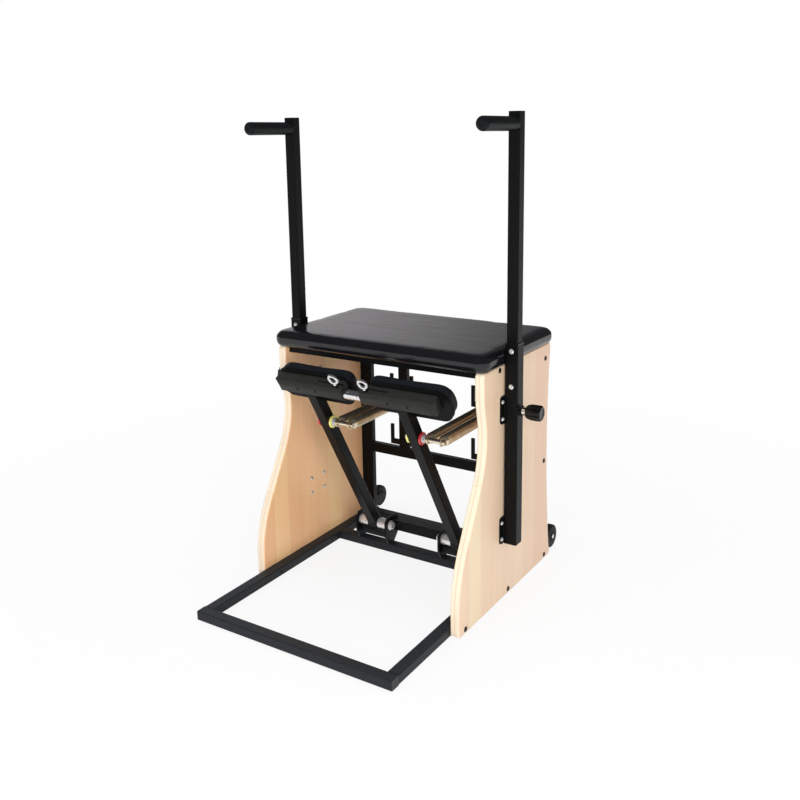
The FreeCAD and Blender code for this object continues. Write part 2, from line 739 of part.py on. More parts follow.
def pedal_arms():
    """The leaning square tubes, each with a bored boss at its foot."""
    bar = tube("arm_bar", "arm_wide", "arm_wide", "arm_length", "arm_wall", "tube_corner")
    place(bar, "arm_x")
    boss = rod("arm_boss", "arm_boss_radius", "arm_wide", "x", "arm_x - arm_wide / 2")
    bore = rod("arm_bore", "axle_radius + running_gap", "arm_wide + 2 * overrun", "x",
               "arm_x - arm_wide / 2 - overrun")
    pin_hole = rod("arm_pin_hole", "pin_radius + screw_gap", "arm_wide + 2 * overrun", "x",
                   "arm_x - arm_wide / 2 - overrun", "0", PIN_ALONG)
    right = keep(place_on_arm(cut("right_pedal_arm", fused("arm_blank", [bar, boss]), [bore, pin_hole])))
    keep(twin("left_pedal_arm", right))


def pedal_rails():
    """The bevelled bars across the arms' tops, bored for the link dowel and its lock pins."""
    back = "arm_wide / 2"
    outline = [
        (back, "arm_length"),
        ("-(rail_front - rail_bevel)", "arm_length"),
        ("-rail_front", "arm_length + rail_bevel"),
        ("-rail_front", "arm_length + rail_tall - rail_bevel"),
        ("-rail_flat", "arm_length + rail_tall"),
        (back, "arm_length + rail_tall"),
    ]
    body = padded("rail_blank", [outline], "rail_outer - rail_inner", "YZ_Plane")
    middle = number("(rail_outer - rail_inner) / 2")
    front = number("-rail_front")

    def outer_front(edge):
        spot = edge.CenterOfMass
        across = runs_along(edge, Vector(1, 0, 0))
        return spot.x > middle and not across and abs(spot.y - front) < SAME_PLACE

    round_edges(body, "rail_end_bevel", outer_front, "Chamfer")
    place(body, "rail_inner")
    dowel_bore = rod("rail_dowel_bore", "dowel_radius + running_gap", "dowel_bore_depth + overrun", "x",
                     "rail_inner - overrun", "-dowel_forward", DOWEL_ALONG)
    lock_bore = rod("rail_lock_bore", "lock_radius + running_gap",
                    "rail_tall - dowel_rise + overrun", "z", "lock_x", "-lock_forward", DOWEL_ALONG)
    right = keep(place_on_arm(cut("right_pedal_rail", body, [dowel_bore, lock_bore])))
    keep(twin("left_pedal_rail", right))


def pedal_pads():
    """The foot boards behind the rails and the padding on them."""
    middle_x = "(board_inner + board_outer) / 2"
    middle_along = "arm_length - board_drop + board_tall / 2"
    wide = "board_outer - board_inner"
    board = rounded_plate("board_blank", wide, "board_tall", "board_thickness", "pad_corner")
    place(board, middle_x, "arm_wide / 2 + board_thickness", middle_along, "upright")
    right_board = keep(place_on_arm(group("right_pedal_board", [board])))
    keep(twin("left_pedal_board", right_board))
    form = doc.addObject("Part::Feature", "cushion_form")
    form.Shape = soft_block(number(wide), number("board_tall"), number("pad_height"), number("pad_corner"),
                            PAD_SECTION_SHARES)
    place(form, middle_x, "arm_wide / 2 + board_thickness", middle_along, "y")
    right = keep(place_on_arm(group("right_pedal_cushion", [form])))
    keep(twin("left_pedal_cushion", right))


def link_dowel():
    """The dowel that links the two pedals, drawn back just clear of the right rail."""
    body = round_bar("dowel_blank", ["dowel_radius"], "2 * rail_inner + dowel_hidden - moving_gap")
    round_edges(body, "dowel_end_chamfer", is_rim, "Chamfer")
    place(body, "-rail_inner - dowel_hidden", "-dowel_forward", DOWEL_ALONG, "x")
    keep(place_on_arm(group("link_dowel", [body])))


def lock_pins():
    """Ring pulls on short pins above the dowel, one in each rail."""
    rail_top = "arm_length + rail_tall"
    nose = f"{DOWEL_ALONG} + dowel_radius + moving_gap"
    ring_middle = f"{rail_top} + moving_gap + lock_neck + lock_ring_radius + lock_ring_wire"
    pin = rod("lock_pin", "lock_radius", f"{ring_middle} - lock_ring_radius - ({nose})", "z", "lock_x",
              "-lock_forward", nose)
    ring = bind(doc.addObject("Part::Torus", "lock_ring"), Radius1="lock_ring_radius", Radius2="lock_ring_wire")
    place(ring, "lock_x", "-lock_forward", ring_middle, "upright")
    right = keep(place_on_arm(fused("right_lock_pin", [pin, ring])))
    keep(twin("left_lock_pin", right))


def cap(name, start):
    """A coloured disc bored for the spring pin, with rounded rims."""
    disc = round_bar(name + "_disc", ["cap_radius", "pin_radius + screw_gap"], "cap_thickness")
    hole = number("pin_radius + screw_gap")
    round_edges(disc, "cap_edge_round", lambda edge: is_rim(edge, hole + SAME_PLACE))
    place(disc, start, PIN_Y, PIN_Z, "x")
    return keep(group(name, [disc]))


def biarc(start, start_way, end, end_way):
    """Two tangent arcs that leave one point along a direction and reach another along its own."""
    span = end - start
    both = start_way + end_way
    spread = 2 * (1 - start_way.dot(end_way))
    lean = span.dot(both)
    length = (math.sqrt(lean ** 2 + spread * span.dot(span)) - lean) / spread
    first_knee = start + start_way * length
    second_knee = end - end_way * length
    joint = (first_knee + second_knee) / 2
    arcs = []
    for near, knee, far in ((start, first_knee, joint), (joint, second_knee, end)):
        chord = far - near
        sagitta = knee - (near + far) / 2
        half = chord.Length / 2
        rise = half * sagitta.Length / (half + math.sqrt(half ** 2 + sagitta.Length ** 2))
        arcs.append(Part.Arc(near, (near + far) / 2 + sagitta.normalize() * rise, far).toShape())
    return arcs


def spring_path(length, radius, wire):
    """The wire's centre line along +Y: straight ends square to the plugs and even turns between."""
    straight = 2 * wire
    lead = 4 * wire
    rise = length - 2 * (straight + lead)
    quarters = 4 * SPRING_TURNS
    axis = Vector(0, 1, 0)

    def spot(quarter):
        angle = math.pi / 2 * quarter
        height = straight + lead + rise * quarter / quarters
        return Vector(radius * math.cos(angle), height, radius * math.sin(angle))

    def way(quarter):
        angle = math.pi / 2 * quarter
        climb = rise / (quarters * math.pi / 2)
        return Vector(-radius * math.sin(angle), climb, radius * math.cos(angle)).normalize()

    first = spot(-1)
    last = spot(quarters + 1)
    foot = Vector(first.x, 0, first.z)
    head = Vector(last.x, length, last.z)
    edges = [Part.LineSegment(foot, foot + axis * straight).toShape()]
    edges += biarc(foot + axis * straight, axis, spot(0), way(0))
    for quarter in range(quarters):
        edges += biarc(spot(quarter), way(quarter), spot(quarter + 1), way(quarter + 1))
    edges += biarc(spot(quarters), way(quarters), head - axis * straight, axis)
    edges.append(Part.LineSegment(head - axis * straight, head).toShape())
    return Part.Wire(edges)


def wound_spring():
    """One coil spring as an unbroken tube along +Y from the origin."""
    length = number(f"{HOOK_Y} - ({PIN_Y}) - ({COIL_START}) - ({COIL_END})")
    wire = number("wire_radius")
    path = spring_path(length, number("coil_radius"), wire)
    section = Part.Wire(Part.Circle(path.Vertexes[0].Point, Vector(0, 1, 0), wire).toShape())
    coil = path.makePipeShell([section], True, False)
    points = path.discretize(Number=SPRING_TURNS * POINTS_PER_TURN)
    skip = POINTS_PER_TURN // 2
    nearest = min(first.distanceToPoint(second) for index, first in enumerate(points)
                  for second in points[index + skip:index + 3 * skip])
    print("spring: least gap between turns", round(nearest - 2 * wire, 2))
    expected = math.pi * wire ** 2 * path.Length
    print("spring: volume over section times length", round(coil.Volume / expected, 4))
    return coil


def spring_gear():
    """On each pedal: the spring pin through the arm, its two caps, and two springs with their end plugs."""
    coil = wound_spring()
    rear_plugs = []
    for side, middle, inner_colour, outer_colour in (("left", "-arm_x", "red", "yellow"),
                                                     ("right", "arm_x", "yellow", "red")):
        face = "arm_wide / 2"
        cap(f"{side}_{inner_colour}_cap", f"{middle} - {face} - cap_thickness")
        cap(f"{side}_{outer_colour}_cap", f"{middle} + {face}")
        low = f"{middle} - {face} - cap_thickness"
        high = f"{middle} + spring_second + eye_wide / 2"
        shank = rod(f"{side}_pin_shank", "pin_radius", f"{high} - ({low})", "x", low, PIN_Y, PIN_Z)
        low_head = rod(f"{side}_pin_low_head", "pin_head_radius", "pin_head_height", "x",
                       f"{low} - pin_head_height", PIN_Y, PIN_Z)
        high_head = rod(f"{side}_pin_high_head", "pin_head_radius", "pin_head_height", "x", high, PIN_Y, PIN_Z)
        keep(fused(f"{side}_spring_pin", [shank, low_head, high_head]))
        front_plugs = []
        coils = []
        for order, offset in (("first", "spring_first"), ("second", "spring_second")):
            middle_x = f"{middle} + {offset}"
            front_plugs.append(front_plug(f"{side}_{order}", middle_x))
            rear_plugs.append(rear_plug(f"{side}_{order}", middle_x))
            turn = doc.addObject("Part::Feature", f"{side}_{order}_coil")
            turn.Shape = coil
            coils.append(place(turn, middle_x, f"{PIN_Y} + {COIL_START}", PIN_Z))
        keep(group(f"{side}_spring_front_plugs", front_plugs))
        keep(group(f"{side}_springs", coils))
    keep(group("spring_rear_plugs", rear_plugs))


def front_plug(name, x):
    """A spring's front end: an eye on the pin, a neck and the plug that the coil starts from."""
    eye = rod(f"{name}_eye", "eye_radius", "eye_wide", "x", f"{x} - eye_wide / 2", PIN_Y, PIN_Z)
    neck = rod(f"{name}_neck", "neck_radius", "eye_radius + neck_length", "y", x, PIN_Y, PIN_Z)
    plug = rod(f"{name}_plug", "plug_radius", "plug_length", "y", x, f"{PIN_Y} + eye_radius + neck_length", PIN_Z)
    bore = rod(f"{name}_eye_bore", "pin_radius + screw_gap", "eye_wide + 2 * overrun", "x",
               f"{x} - eye_wide / 2 - overrun", PIN_Y, PIN_Z)
    return cut(f"{name}_front_plug", fused(f"{name}_front_blank", [eye, neck, plug]), [bore])


def rear_plug(name, x):
    """A spring's rear end: a slotted block on the hook's prong, a neck and the plug that the coil ends at."""
    low_eye = f"{PIN_Z} - hook_eye_tall / 2"
    eye = block(f"{name}_hook_eye", "hook_eye_wide", "hook_eye_deep", "hook_eye_tall",
                f"{x} - hook_eye_wide / 2", f"{HOOK_Y} - hook_eye_deep / 2", low_eye)
    neck = rod(f"{name}_hook_neck", "neck_radius", "hook_eye_deep / 4 + neck_length", "y", x,
               f"{HOOK_Y} - hook_eye_deep / 2 - neck_length", PIN_Z)
    plug = rod(f"{name}_hook_plug", "plug_radius", "plug_length", "y", x, f"{HOOK_Y} - ({COIL_END})", PIN_Z)
    slot = block(f"{name}_hook_slot", "hook_prong_wide + 2 * hook_eye_gap", "hook_thickness + 2 * hook_eye_gap",
                 "hook_eye_tall + 4 * overrun", f"{x} - hook_prong_wide / 2 - hook_eye_gap",
                 f"{HOOK_Y} - hook_thickness / 2 - hook_eye_gap", f"{low_eye} - 2 * overrun")
    return cut(f"{name}_rear_plug", fused(f"{name}_rear_blank", [eye, neck, plug]), [slot])


def sleeves():
    """The square sleeves outside the panels, closed at the foot, with holes for the knob and guide screws."""
    blank = tube("sleeve_tube", "sleeve_wide", "sleeve_wide", f"{SLEEVE_TOP} - sleeve_bottom", "sleeve_wall",
                 "sleeve_corner")
    place(blank, POST_X, POST_Y, "sleeve_bottom")
    floor_side = "sleeve_wide - sleeve_wall"
    floor = block("sleeve_floor_plate", floor_side, floor_side, "sleeve_floor", f"{POST_X} - ({floor_side}) / 2",
                  f"{POST_Y} - ({floor_side}) / 2", "sleeve_bottom")
    tools = [rod("sleeve_knob_hole", "knob_stud_radius + running_gap", "sleeve_wide", "x", POST_X, POST_Y,
                 KNOB_Z)]
    for index, height in enumerate(GUIDE_SCREW_HEIGHTS):
        tools.append(rod(f"sleeve_screw_hole_{index}", "guide_screw_radius + screw_gap", "sleeve_wide / 2", "y",
                         POST_X, f"{POST_Y} - sleeve_wide / 2 - overrun", height))
    right = keep(cut("right_post_sleeve", fused("sleeve_blank", [blank, floor]), tools))
    keep(twin("left_post_sleeve", right))


def sleeve_plates():
    """Square plates between panel and sleeve, held by bolts with dome nuts."""
    plates = []
    bolts = []
    outside = "inside_half + panel_thickness"
    for name, level in PLATE_LEVELS.items():
        plate = rounded_plate(f"{name}_plate_blank", "plate_side", "plate_side", "plate_thickness", "plate_corner")
        place(plate, outside, POST_Y, level, "x")
        holes = [rod(f"{name}_plate_hole_{index}", "bolt_radius + screw_gap", "plate_thickness + 2 * overrun",
                     "x", f"{outside} - overrun", *spot)
                 for index, spot in enumerate(SLEEVE_BOLT_PLACES) if spot[1].startswith(level)]
        right = cut(f"right_{name}_plate", plate, holes)
        plates += [right, twin(f"left_{name}_plate", right)]
    keep(group("sleeve_plates", plates))
    head_face = f"{outside} + plate_thickness"
    for index, spot in enumerate(SLEEVE_BOLT_PLACES):
        shank = rod(f"bolt_shank_{index}", "bolt_radius", "panel_thickness + plate_thickness", "x", "inside_half",
                    *spot)
        head = rod(f"bolt_head_{index}", "bolt_head_radius", "bolt_head_height", "x", head_face, *spot)
        nut = rod(f"bolt_nut_{index}", "bolt_head_radius", "bolt_head_height", "x",
                  "inside_half - bolt_head_height", *spot)
        right = fused(f"right_bolt_{index}", [shank, head, nut])
        bolts += [right, twin(f"left_bolt_{index}", right)]
    for index, height in enumerate(GUIDE_SCREW_HEIGHTS):
        front = f"{POST_Y} - sleeve_wide / 2"
        head = rod(f"guide_screw_head_{index}", "guide_screw_head_radius", "guide_screw_head_height", "y", POST_X,
                   f"{front} - guide_screw_head_height", height)
        shank = rod(f"guide_screw_shank_{index}", "guide_screw_radius", "sleeve_wall", "y", POST_X, front, height)
        right = fused(f"right_guide_screw_{index}", [head, shank])
        bolts += [right, twin(f"left_guide_screw_{index}", right)]
    keep(group("sleeve_bolts", bolts))


def post_guides():
    """Plastic liners at both ends of each sleeve that the posts slide in."""
    guides = []
    outer = "sleeve_wide - 2 * sleeve_wall"
    inner = "post_wide + 2 * running_gap"
    upper = padded("guide_upper", [rectangle(outer, outer), rectangle(inner, inner)], "guide_upper_length")
    place(upper, POST_X, POST_Y, f"{SLEEVE_TOP} - guide_upper_length")
    lip = padded("guide_lip_ring", [rectangle("sleeve_wide", "sleeve_wide"), rectangle(inner, inner)], "guide_lip")
    place(lip, POST_X, POST_Y, SLEEVE_TOP)
    lower = padded("guide_lower", [rectangle(outer, outer), rectangle(inner, inner)], "guide_lower_length")
    place(lower, POST_X, POST_Y, POST_BOTTOM)
    for name, right in (("upper", fused("right_guide_upper", [upper, lip])), ("lower", lower)):
        guides += [right, twin(f"left_guide_{name}", right)]
    keep(group("post_guides", guides))


def handle_posts():
    """The sliding square posts, each with a welded handle bar under a round grip."""
    length = f"post_top - ({POST_BOTTOM}) - moving_gap"
    post = tube("post_tube", "post_wide", "post_wide", length, "post_wall", "post_corner")
    place(post, POST_X, POST_Y, f"{POST_BOTTOM} + moving_gap")
    top_side = "post_wide - post_wall"
    top = block("post_top_plate", top_side, top_side, "post_wall", f"{POST_X} - ({top_side}) / 2",
                f"{POST_Y} - ({top_side}) / 2", "post_top - post_wall")
    front = f"{POST_Y} - post_wide / 2"
    bar_length = "handle_tip - post_reach - post_wide / 2 - grip_round"
    bar = rod("handle_bar", "handle_bar_radius", f"{bar_length} + post_wall", "y", POST_X,
              f"{front} - ({bar_length})", HANDLE_Z)
    bore = rod("handle_bar_bore", "handle_bar_radius - handle_bar_wall", f"{bar_length} + overrun", "y", POST_X,
               f"{front} - ({bar_length}) - overrun", HANDLE_Z)
    right = keep(cut("right_post", fused("post_blank", [post, top, bar]), [bore]))
    keep(twin("left_post", right))
    grip_length = "handle_tip - post_reach - post_wide / 2"
    body = round_bar("grip_blank", ["grip_radius"], grip_length)
    round_edges(body, "grip_round", lambda edge: is_rim(edge) and edge.CenterOfMass.z < SAME_PLACE)
    place(body, POST_X, f"{front} - ({grip_length})", HANDLE_Z, "y")
    socket = rod("grip_socket", "handle_bar_radius", f"{bar_length} + overrun", "y", POST_X,
                 f"{front} - ({bar_length})", HANDLE_Z)
    grip = keep(cut("right_handle_grip", body, [socket]))
    keep(twin("left_handle_grip", grip))


def clamp_knobs():
    """Fluted hand knobs whose studs run through a collar on the sleeve up to the post."""
    face = f"{POST_X} + sleeve_wide / 2"
    spot = (POST_Y, KNOB_Z)
    barrel = rod("collar_barrel", "knob_collar_radius", "knob_collar_length", "x", face, *spot)
    bore = rod("collar_bore", "knob_stud_radius + running_gap", "knob_collar_length + 2 * overrun", "x",
               f"{face} - overrun", *spot)
    collar = cut("right_knob_collar", barrel, [bore])
    keep(group("knob_collars", [collar, twin("left_knob_collar", collar)]))
    body = round_bar("knob_head", ["knob_radius"], "knob_length")
    round_edges(body, "knob_edge", is_rim)
    flute_sketch = new_sketch(body, "flute_section")
    rim_spot = Vector(number("knob_radius"), 0, 0)
    circle = Part.Circle(rim_spot, Vector(0, 0, 1), number("knob_flute_radius"))
    flute = flute_sketch.addGeometry(circle, False)
    rules = (("DistanceX", (-1, 1, flute, 3), "knob_radius"), ("Radius", (flute,), "knob_flute_radius"))
    for kind, near, formula in rules:
        rule = flute_sketch.addConstraint(Sketcher.Constraint(kind, *near, number(formula)))
        flute_sketch.setExpression(f"Constraints[{rule}]", bound(formula))
    flute_sketch.addConstraint(Sketcher.Constraint("PointOnObject", flute, 3, -1))
    groove = body.newObject("PartDesign::Pocket", "flute_pocket")
    groove.Profile = flute_sketch
    groove.Type = "ThroughAll"
    groove.Reversed = True
    doc.recompute()
    flutes = body.newObject("PartDesign::PolarPattern", "flutes")
    flutes.Originals = [groove]
    flutes.Axis = (next(item for item in body.Origin.OriginFeatures if item.Role == "Z_Axis"), [""])
    flutes.Occurrences = KNOB_FLUTES
    body.Tip = flutes
    doc.recompute()
    knob_start = f"{face} + knob_collar_length + moving_gap"
    place(body, knob_start, *spot, "x")
    nose = f"{POST_X} + post_wide / 2 + moving_gap"
    stud = rod("knob_stud", "knob_stud_radius", f"{knob_start} - ({nose}) + knob_edge", "x", nose, *spot)
    right = keep(fused("right_clamp_knob", [body, stud]))
    keep(twin("left_clamp_knob", right))


def wheels():
    """Transport wheels on stub axles, on plates welded to the side tubes' rear ends."""
    axle = (reach("-wheel_set_back"), "wheel_height")
    body = round_bar("wheel_blank", ["wheel_radius", "wheel_axle_radius + running_gap"], "wheel_wide")
    hole = number("wheel_axle_radius + running_gap")
    round_edges(body, "wheel_edge_round", lambda edge: is_rim(edge, hole + SAME_PLACE))
    place(body, "wheel_inner", *axle, "x")
    recess = rod("wheel_recess", "wheel_hub_radius", "wheel_hub_recess + overrun", "x",
                 "wheel_inner + wheel_wide - wheel_hub_recess", *axle)
    right = keep(cut("right_wheel", body, [recess]))
    keep(twin("left_wheel", right))
    plate_face = "wheel_inner - moving_gap - wheel_hub_recess"
    plate_start = f"{plate_face} - wheel_plate_thickness"
    flange = block("wheel_flange", "tube_wide", "wheel_plate_thickness", "tube_tall", "inside_half - tube_wide",
                   reach("side_tube_rear"), "0")
    web = block("wheel_web", "wheel_plate_thickness", "side_tube_rear + wheel_set_back", "2 * wheel_plate_radius",
                plate_start, reach("side_tube_rear"), "wheel_height - wheel_plate_radius")
    ear = rod("wheel_ear", "wheel_plate_radius", "wheel_plate_thickness", "x", plate_start, *axle)
    shoulder = rod("wheel_shoulder", "wheel_axle_head", "wheel_hub_recess", "x", plate_face, *axle)
    stub_end = "wheel_inner + wheel_wide - wheel_hub_recess + moving_gap"
    stub = rod("wheel_stub", "wheel_axle_radius", f"{stub_end} - ({plate_face})", "x", plate_face, *axle)
    head = rod("wheel_stub_head", "wheel_axle_head", "wheel_axle_head_height", "x", stub_end, *axle)
    right = fused("right_wheel_bracket", [flange, web, ear, shoulder, stub, head])
    keep(group("wheel_brackets", [right, twin("left_wheel_bracket", right)]))


def main():
    """Build every piece, test it and write one file per node."""
    for build in (side_panels, panel_screws, seat, floor_frame, rear_frame, hook_plates, pivot_brackets, pivot_axles,
                  pedal_arms, pedal_rails, pedal_pads, link_dowel, lock_pins, spring_gear, sleeves, sleeve_plates,
                  post_guides, handle_posts, clamp_knobs, wheels):
        build()
    doc.recompute()
    for item in doc.Objects:
        if "Invalid" in item.State or "Error" in item.State:
            raise RuntimeError(f"{item.Name} failed: {item.State}")
    for label, item in nodes.items():
        if item.Shape.isNull() or not item.Shape.isValid() or not item.Shape.Solids:
            raise RuntimeError(f"{label} has no valid shape")
    os.makedirs("parts", exist_ok=True)
    for label, item in nodes.items():
        item.Shape.exportStep(os.path.join("parts", label + ".step"))
    whole = Part.makeCompound([item.Shape for item in nodes.values()])
    print(len(nodes), "nodes", whole.BoundBox)


main()
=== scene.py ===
"""Dresses the pilates chair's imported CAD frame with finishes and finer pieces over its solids.

Every length is in metres, in the CAD's own frame: +Z up, +X across the chair, pedals towards -Y.
"""

import json
import logging
import math
from dataclasses import dataclass
from enum import Enum, IntEnum
from typing import Any, Callable, Dict, List, Optional, Sequence, Tuple

import bmesh
import bpy
from mathutils import Matrix, Vector

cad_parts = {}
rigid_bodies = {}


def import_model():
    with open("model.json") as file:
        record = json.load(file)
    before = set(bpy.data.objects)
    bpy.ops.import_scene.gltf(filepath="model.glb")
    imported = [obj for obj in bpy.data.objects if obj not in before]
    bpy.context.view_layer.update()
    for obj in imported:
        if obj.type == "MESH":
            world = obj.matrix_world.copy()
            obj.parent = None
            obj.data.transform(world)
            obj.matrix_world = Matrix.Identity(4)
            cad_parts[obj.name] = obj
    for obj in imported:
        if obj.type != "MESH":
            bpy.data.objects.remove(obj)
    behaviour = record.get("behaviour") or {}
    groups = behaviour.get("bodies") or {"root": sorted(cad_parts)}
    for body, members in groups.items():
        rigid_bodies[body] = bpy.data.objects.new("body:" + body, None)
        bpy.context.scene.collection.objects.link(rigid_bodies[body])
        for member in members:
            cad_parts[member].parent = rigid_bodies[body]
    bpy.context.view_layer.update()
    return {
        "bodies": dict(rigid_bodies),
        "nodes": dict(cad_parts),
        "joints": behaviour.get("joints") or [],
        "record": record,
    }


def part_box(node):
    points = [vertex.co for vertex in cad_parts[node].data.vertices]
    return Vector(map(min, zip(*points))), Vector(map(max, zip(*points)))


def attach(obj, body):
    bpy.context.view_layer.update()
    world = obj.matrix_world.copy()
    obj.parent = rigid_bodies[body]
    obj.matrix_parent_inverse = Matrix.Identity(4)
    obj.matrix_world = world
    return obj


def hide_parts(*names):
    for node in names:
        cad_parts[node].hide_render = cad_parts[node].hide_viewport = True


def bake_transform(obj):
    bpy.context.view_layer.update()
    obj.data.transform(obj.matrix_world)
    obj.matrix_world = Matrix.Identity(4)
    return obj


LOG = logging.getLogger("pilates_chair")

Spot = Tuple[float, float, float]
Colour = Tuple[float, float, float]
Pair = Tuple[float, float]
Profile = Tuple[Pair, ...]
Piece = bpy.types.Object
Socket = bpy.types.NodeSocket
Edge = bmesh.types.BMEdge

TINY = 1e-6
QUARTER = math.radians(90)
SMOOTH_ANGLE = math.radians(32)
CLOTH_STIFFNESS = 40
CLOTH_FRAMES = 20
ACROSS, DEEP, UPRIGHT = (1, 0, 0), (0, 1, 0), (0, 0, 1)
WHITE = (1, 1, 1)


class Side(Enum):
    """The chair's two sides, each with the sign of its X."""

    LEFT = -1
    RIGHT = 1

    @property
    def label(self) -> str:
        """The side's name as the nodes spell it."""
        return self.name.lower()

    @property
    def outward(self) -> "Way":
        """The way from the chair's middle to this side."""
        return Way[self.name]


class Pick(Enum):
    """What an edit-mode selection takes hold of: the select mode and the mesh's own list."""

    CORNERS = ("VERT", "verts")
    EDGES = ("EDGE", "edges")


class Way(Enum):
    """Directions that a piece turned about +Z can be laid along."""

    UP = Matrix.Identity(4)
    RIGHT = Matrix.Rotation(QUARTER, 4, "Y")
    LEFT = Matrix.Rotation(-QUARTER, 4, "Y")
    FORWARD = Matrix.Rotation(QUARTER, 4, "X")
    BACK = Matrix.Rotation(-QUARTER, 4, "X")


OUTWARDS = (Way.RIGHT, Way.LEFT)


class Round(IntEnum):
    """How many sides a turned form has, by its kind."""

    NUT = 6
    BEAD = 10
    SCREW = 24
    PIN = 32
    CONE = 40
    DISC = 48
    WHEEL = 64


# Modelling by hand


def at(spot: Sequence[float], way: Way = Way.UP) -> Matrix:
    """The place of a piece that stands on a spot and is laid along a way."""
    return Matrix.Translation(spot) @ way.value


def clear_selection() -> None:
    """Leave edit mode and let go of every object."""
    if bpy.context.object is not None and bpy.context.object.mode != "OBJECT":
        bpy.ops.object.mode_set(mode="OBJECT")
    bpy.ops.object.select_all(action="DESELECT")


def take(piece: Piece) -> Piece:
    """Make a piece the only selected and the active one.

    Args:
        piece: The piece to work on.

    Returns:
        The same piece.
    """
    clear_selection()
    piece.select_set(True)
    bpy.context.view_layer.objects.active = piece
    return piece


def settled() -> Piece:
    """Put the place of the active piece into its mesh."""
    bpy.ops.object.transform_apply(location=True, rotation=True, scale=True)
    return bpy.context.object


def laid(piece: Piece, place: Matrix) -> Piece:
    """Move and turn a piece, with its new place put into its mesh."""
    take(piece).matrix_world = place
    return settled()


def box(low: Spot, high: Spot) -> Piece:
    """Add a cube stretched between two corners, to be shaped further.

    Args:
        low: The lowest corner.
        high: The highest corner.

    Returns:
        The new piece.
    """
    clear_selection()
    middle = (Vector(low) + Vector(high)) / 2
    bpy.ops.mesh.primitive_cube_add(size=1, location=middle, scale=Vector(high) - Vector(low))
    return settled()


def wire_ring(radius: float, wire: float, steps: Tuple[int, int], place: Matrix) -> Piece:
    """Add a ring of round wire, with so many steps round the ring and round the wire."""
    bpy.ops.mesh.primitive_torus_add(
        major_radius=radius, minor_radius=wire, major_segments=steps[0], minor_segments=steps[1])
    return laid(bpy.context.object, place)


def pick(piece: Piece, kind: Pick, test: Callable[[Any], bool]) -> None:
    """Go into edit mode and select the parts of a mesh that pass a test.

    Args:
        piece: The piece to edit.
        kind: Corners or edges.
        test: Says of each such part whether it is wanted.
    """
    mode, parts = kind.value
    take(piece)
    bpy.ops.object.mode_set(mode="EDIT")
    bpy.ops.mesh.select_mode(type=mode)
    bpy.ops.mesh.select_all(action="DESELECT")
    mesh = bmesh.from_edit_mesh(piece.data)
    for part in getattr(mesh, parts):
        part.select_set(bool(test(part)))
    mesh.select_flush_mode()
    bmesh.update_edit_mesh(piece.data)


def middle_of(edge: Edge) -> Vector:
    """The middle of an edge."""
    return (edge.verts[0].co + edge.verts[1].co) / 2


def along(edge: Edge, axis: Spot) -> bool:
    """Whether an edge runs along an axis."""
    way = edge.verts[1].co - edge.verts[0].co
    return abs(way.normalized().dot(Vector(axis))) > 1 - TINY


def lies_at(edge: Edge, axis: Spot, level: float) -> bool:
    """Whether both ends of an edge are at a level along an axis."""
    return all(abs(end.co.dot(Vector(axis)) - level) < TINY for end in edge.verts)


def bevel_edges(piece: Piece, test: Callable[[Edge], bool], width: float, steps: int) -> None:
    """Bevel or round the edges that pass a test.

    Args:
        piece: The piece to edit.
        test: Says of each edge whether it is wanted.
        width: The bevel's width.
        steps: How many faces the bevel has across.
    """
    pick(piece, Pick.EDGES, test)
    bpy.ops.mesh.bevel(
        offset=width, offset_type="OFFSET", segments=steps, profile=0.5, affect="EDGES")
    bpy.ops.object.mode_set(mode="OBJECT")


def close_mesh() -> None:
    """Merge doubles, turn the faces outwards and leave edit mode."""
    bpy.ops.mesh.select_all(action="SELECT")
    bpy.ops.mesh.remove_doubles(threshold=TINY)
    bpy.ops.mesh.normals_make_consistent(inside=False)
    bpy.ops.object.mode_set(mode="OBJECT")


def turned(profile: Sequence[Pair], sides: int, place: Matrix = Way.UP.value,
           ring: bool = False) -> Piece:
    """Turn a form about +Z from (height, radius) steps, by extruding a disc or ring step by step.

    Args:
        profile: The steps from the lower end up, or all round the section for a ring.
        sides: How many sides the round has.
        place: Where the form goes.
        ring: Whether the section closes on itself and leaves a bore.

    Returns:
        The new closed piece.
    """
    clear_selection()
    height, radius = profile[0]
    fill = "NOTHING" if ring else "NGON"
    bpy.ops.mesh.primitive_circle_add(
        vertices=sides, radius=radius, fill_type=fill, location=(0, 0, height))
    piece = settled()
    bpy.ops.object.mode_set(mode="EDIT")
    bpy.ops.mesh.select_all(action="SELECT")
    steps = [*profile, profile[0]] if ring else profile
    for (low, narrow), (high, wide) in zip(steps, steps[1:]):
        bpy.ops.mesh.extrude_region_move(TRANSFORM_OT_translate={"value": (0, 0, high - low)})
        share = wide / narrow
        bpy.ops.transform.resize(value=(share, share, 1), center_override=(0, 0, high))
    close_mesh()
    return laid(piece, place)


def scaled(shares: Profile, radius: float, start: float = 0.0) -> List[Pair]:
    """Make turning steps of heights above a start and shares of a radius."""
    return [(start + height, radius * share) for height, share in shares]


def raised(profile: Profile, start: float) -> List[Pair]:
    """Make turning steps of heights above a start and plain radii."""
    return scaled(profile, 1.0, start)


def inset(insets: Profile, radius: float, start: float) -> List[Pair]:
    """Make turning steps of heights above a start and distances inside a radius."""
    return [(start + height, radius - depth) for height, depth in insets]


def flipped(profile: Sequence[Pair], length: float) -> List[Pair]:
    """Mirror turning steps to the other end of a length."""
    return [(length - height, radius) for height, radius in reversed(profile)]


def copied(piece: Piece, place: Matrix) -> Piece:
    """Copy a piece with a mesh of its own and lay the copy elsewhere.

    Args:
        piece: The piece to copy.
        place: Where the copy goes, from where the first one is.

    Returns:
        The copy.
    """
    take(piece)
    bpy.ops.object.duplicate(linked=False)
    twin = laid(bpy.context.object, place)
    if place.determinant() < 0:
        bpy.ops.object.mode_set(mode="EDIT")
        close_mesh()
    return twin


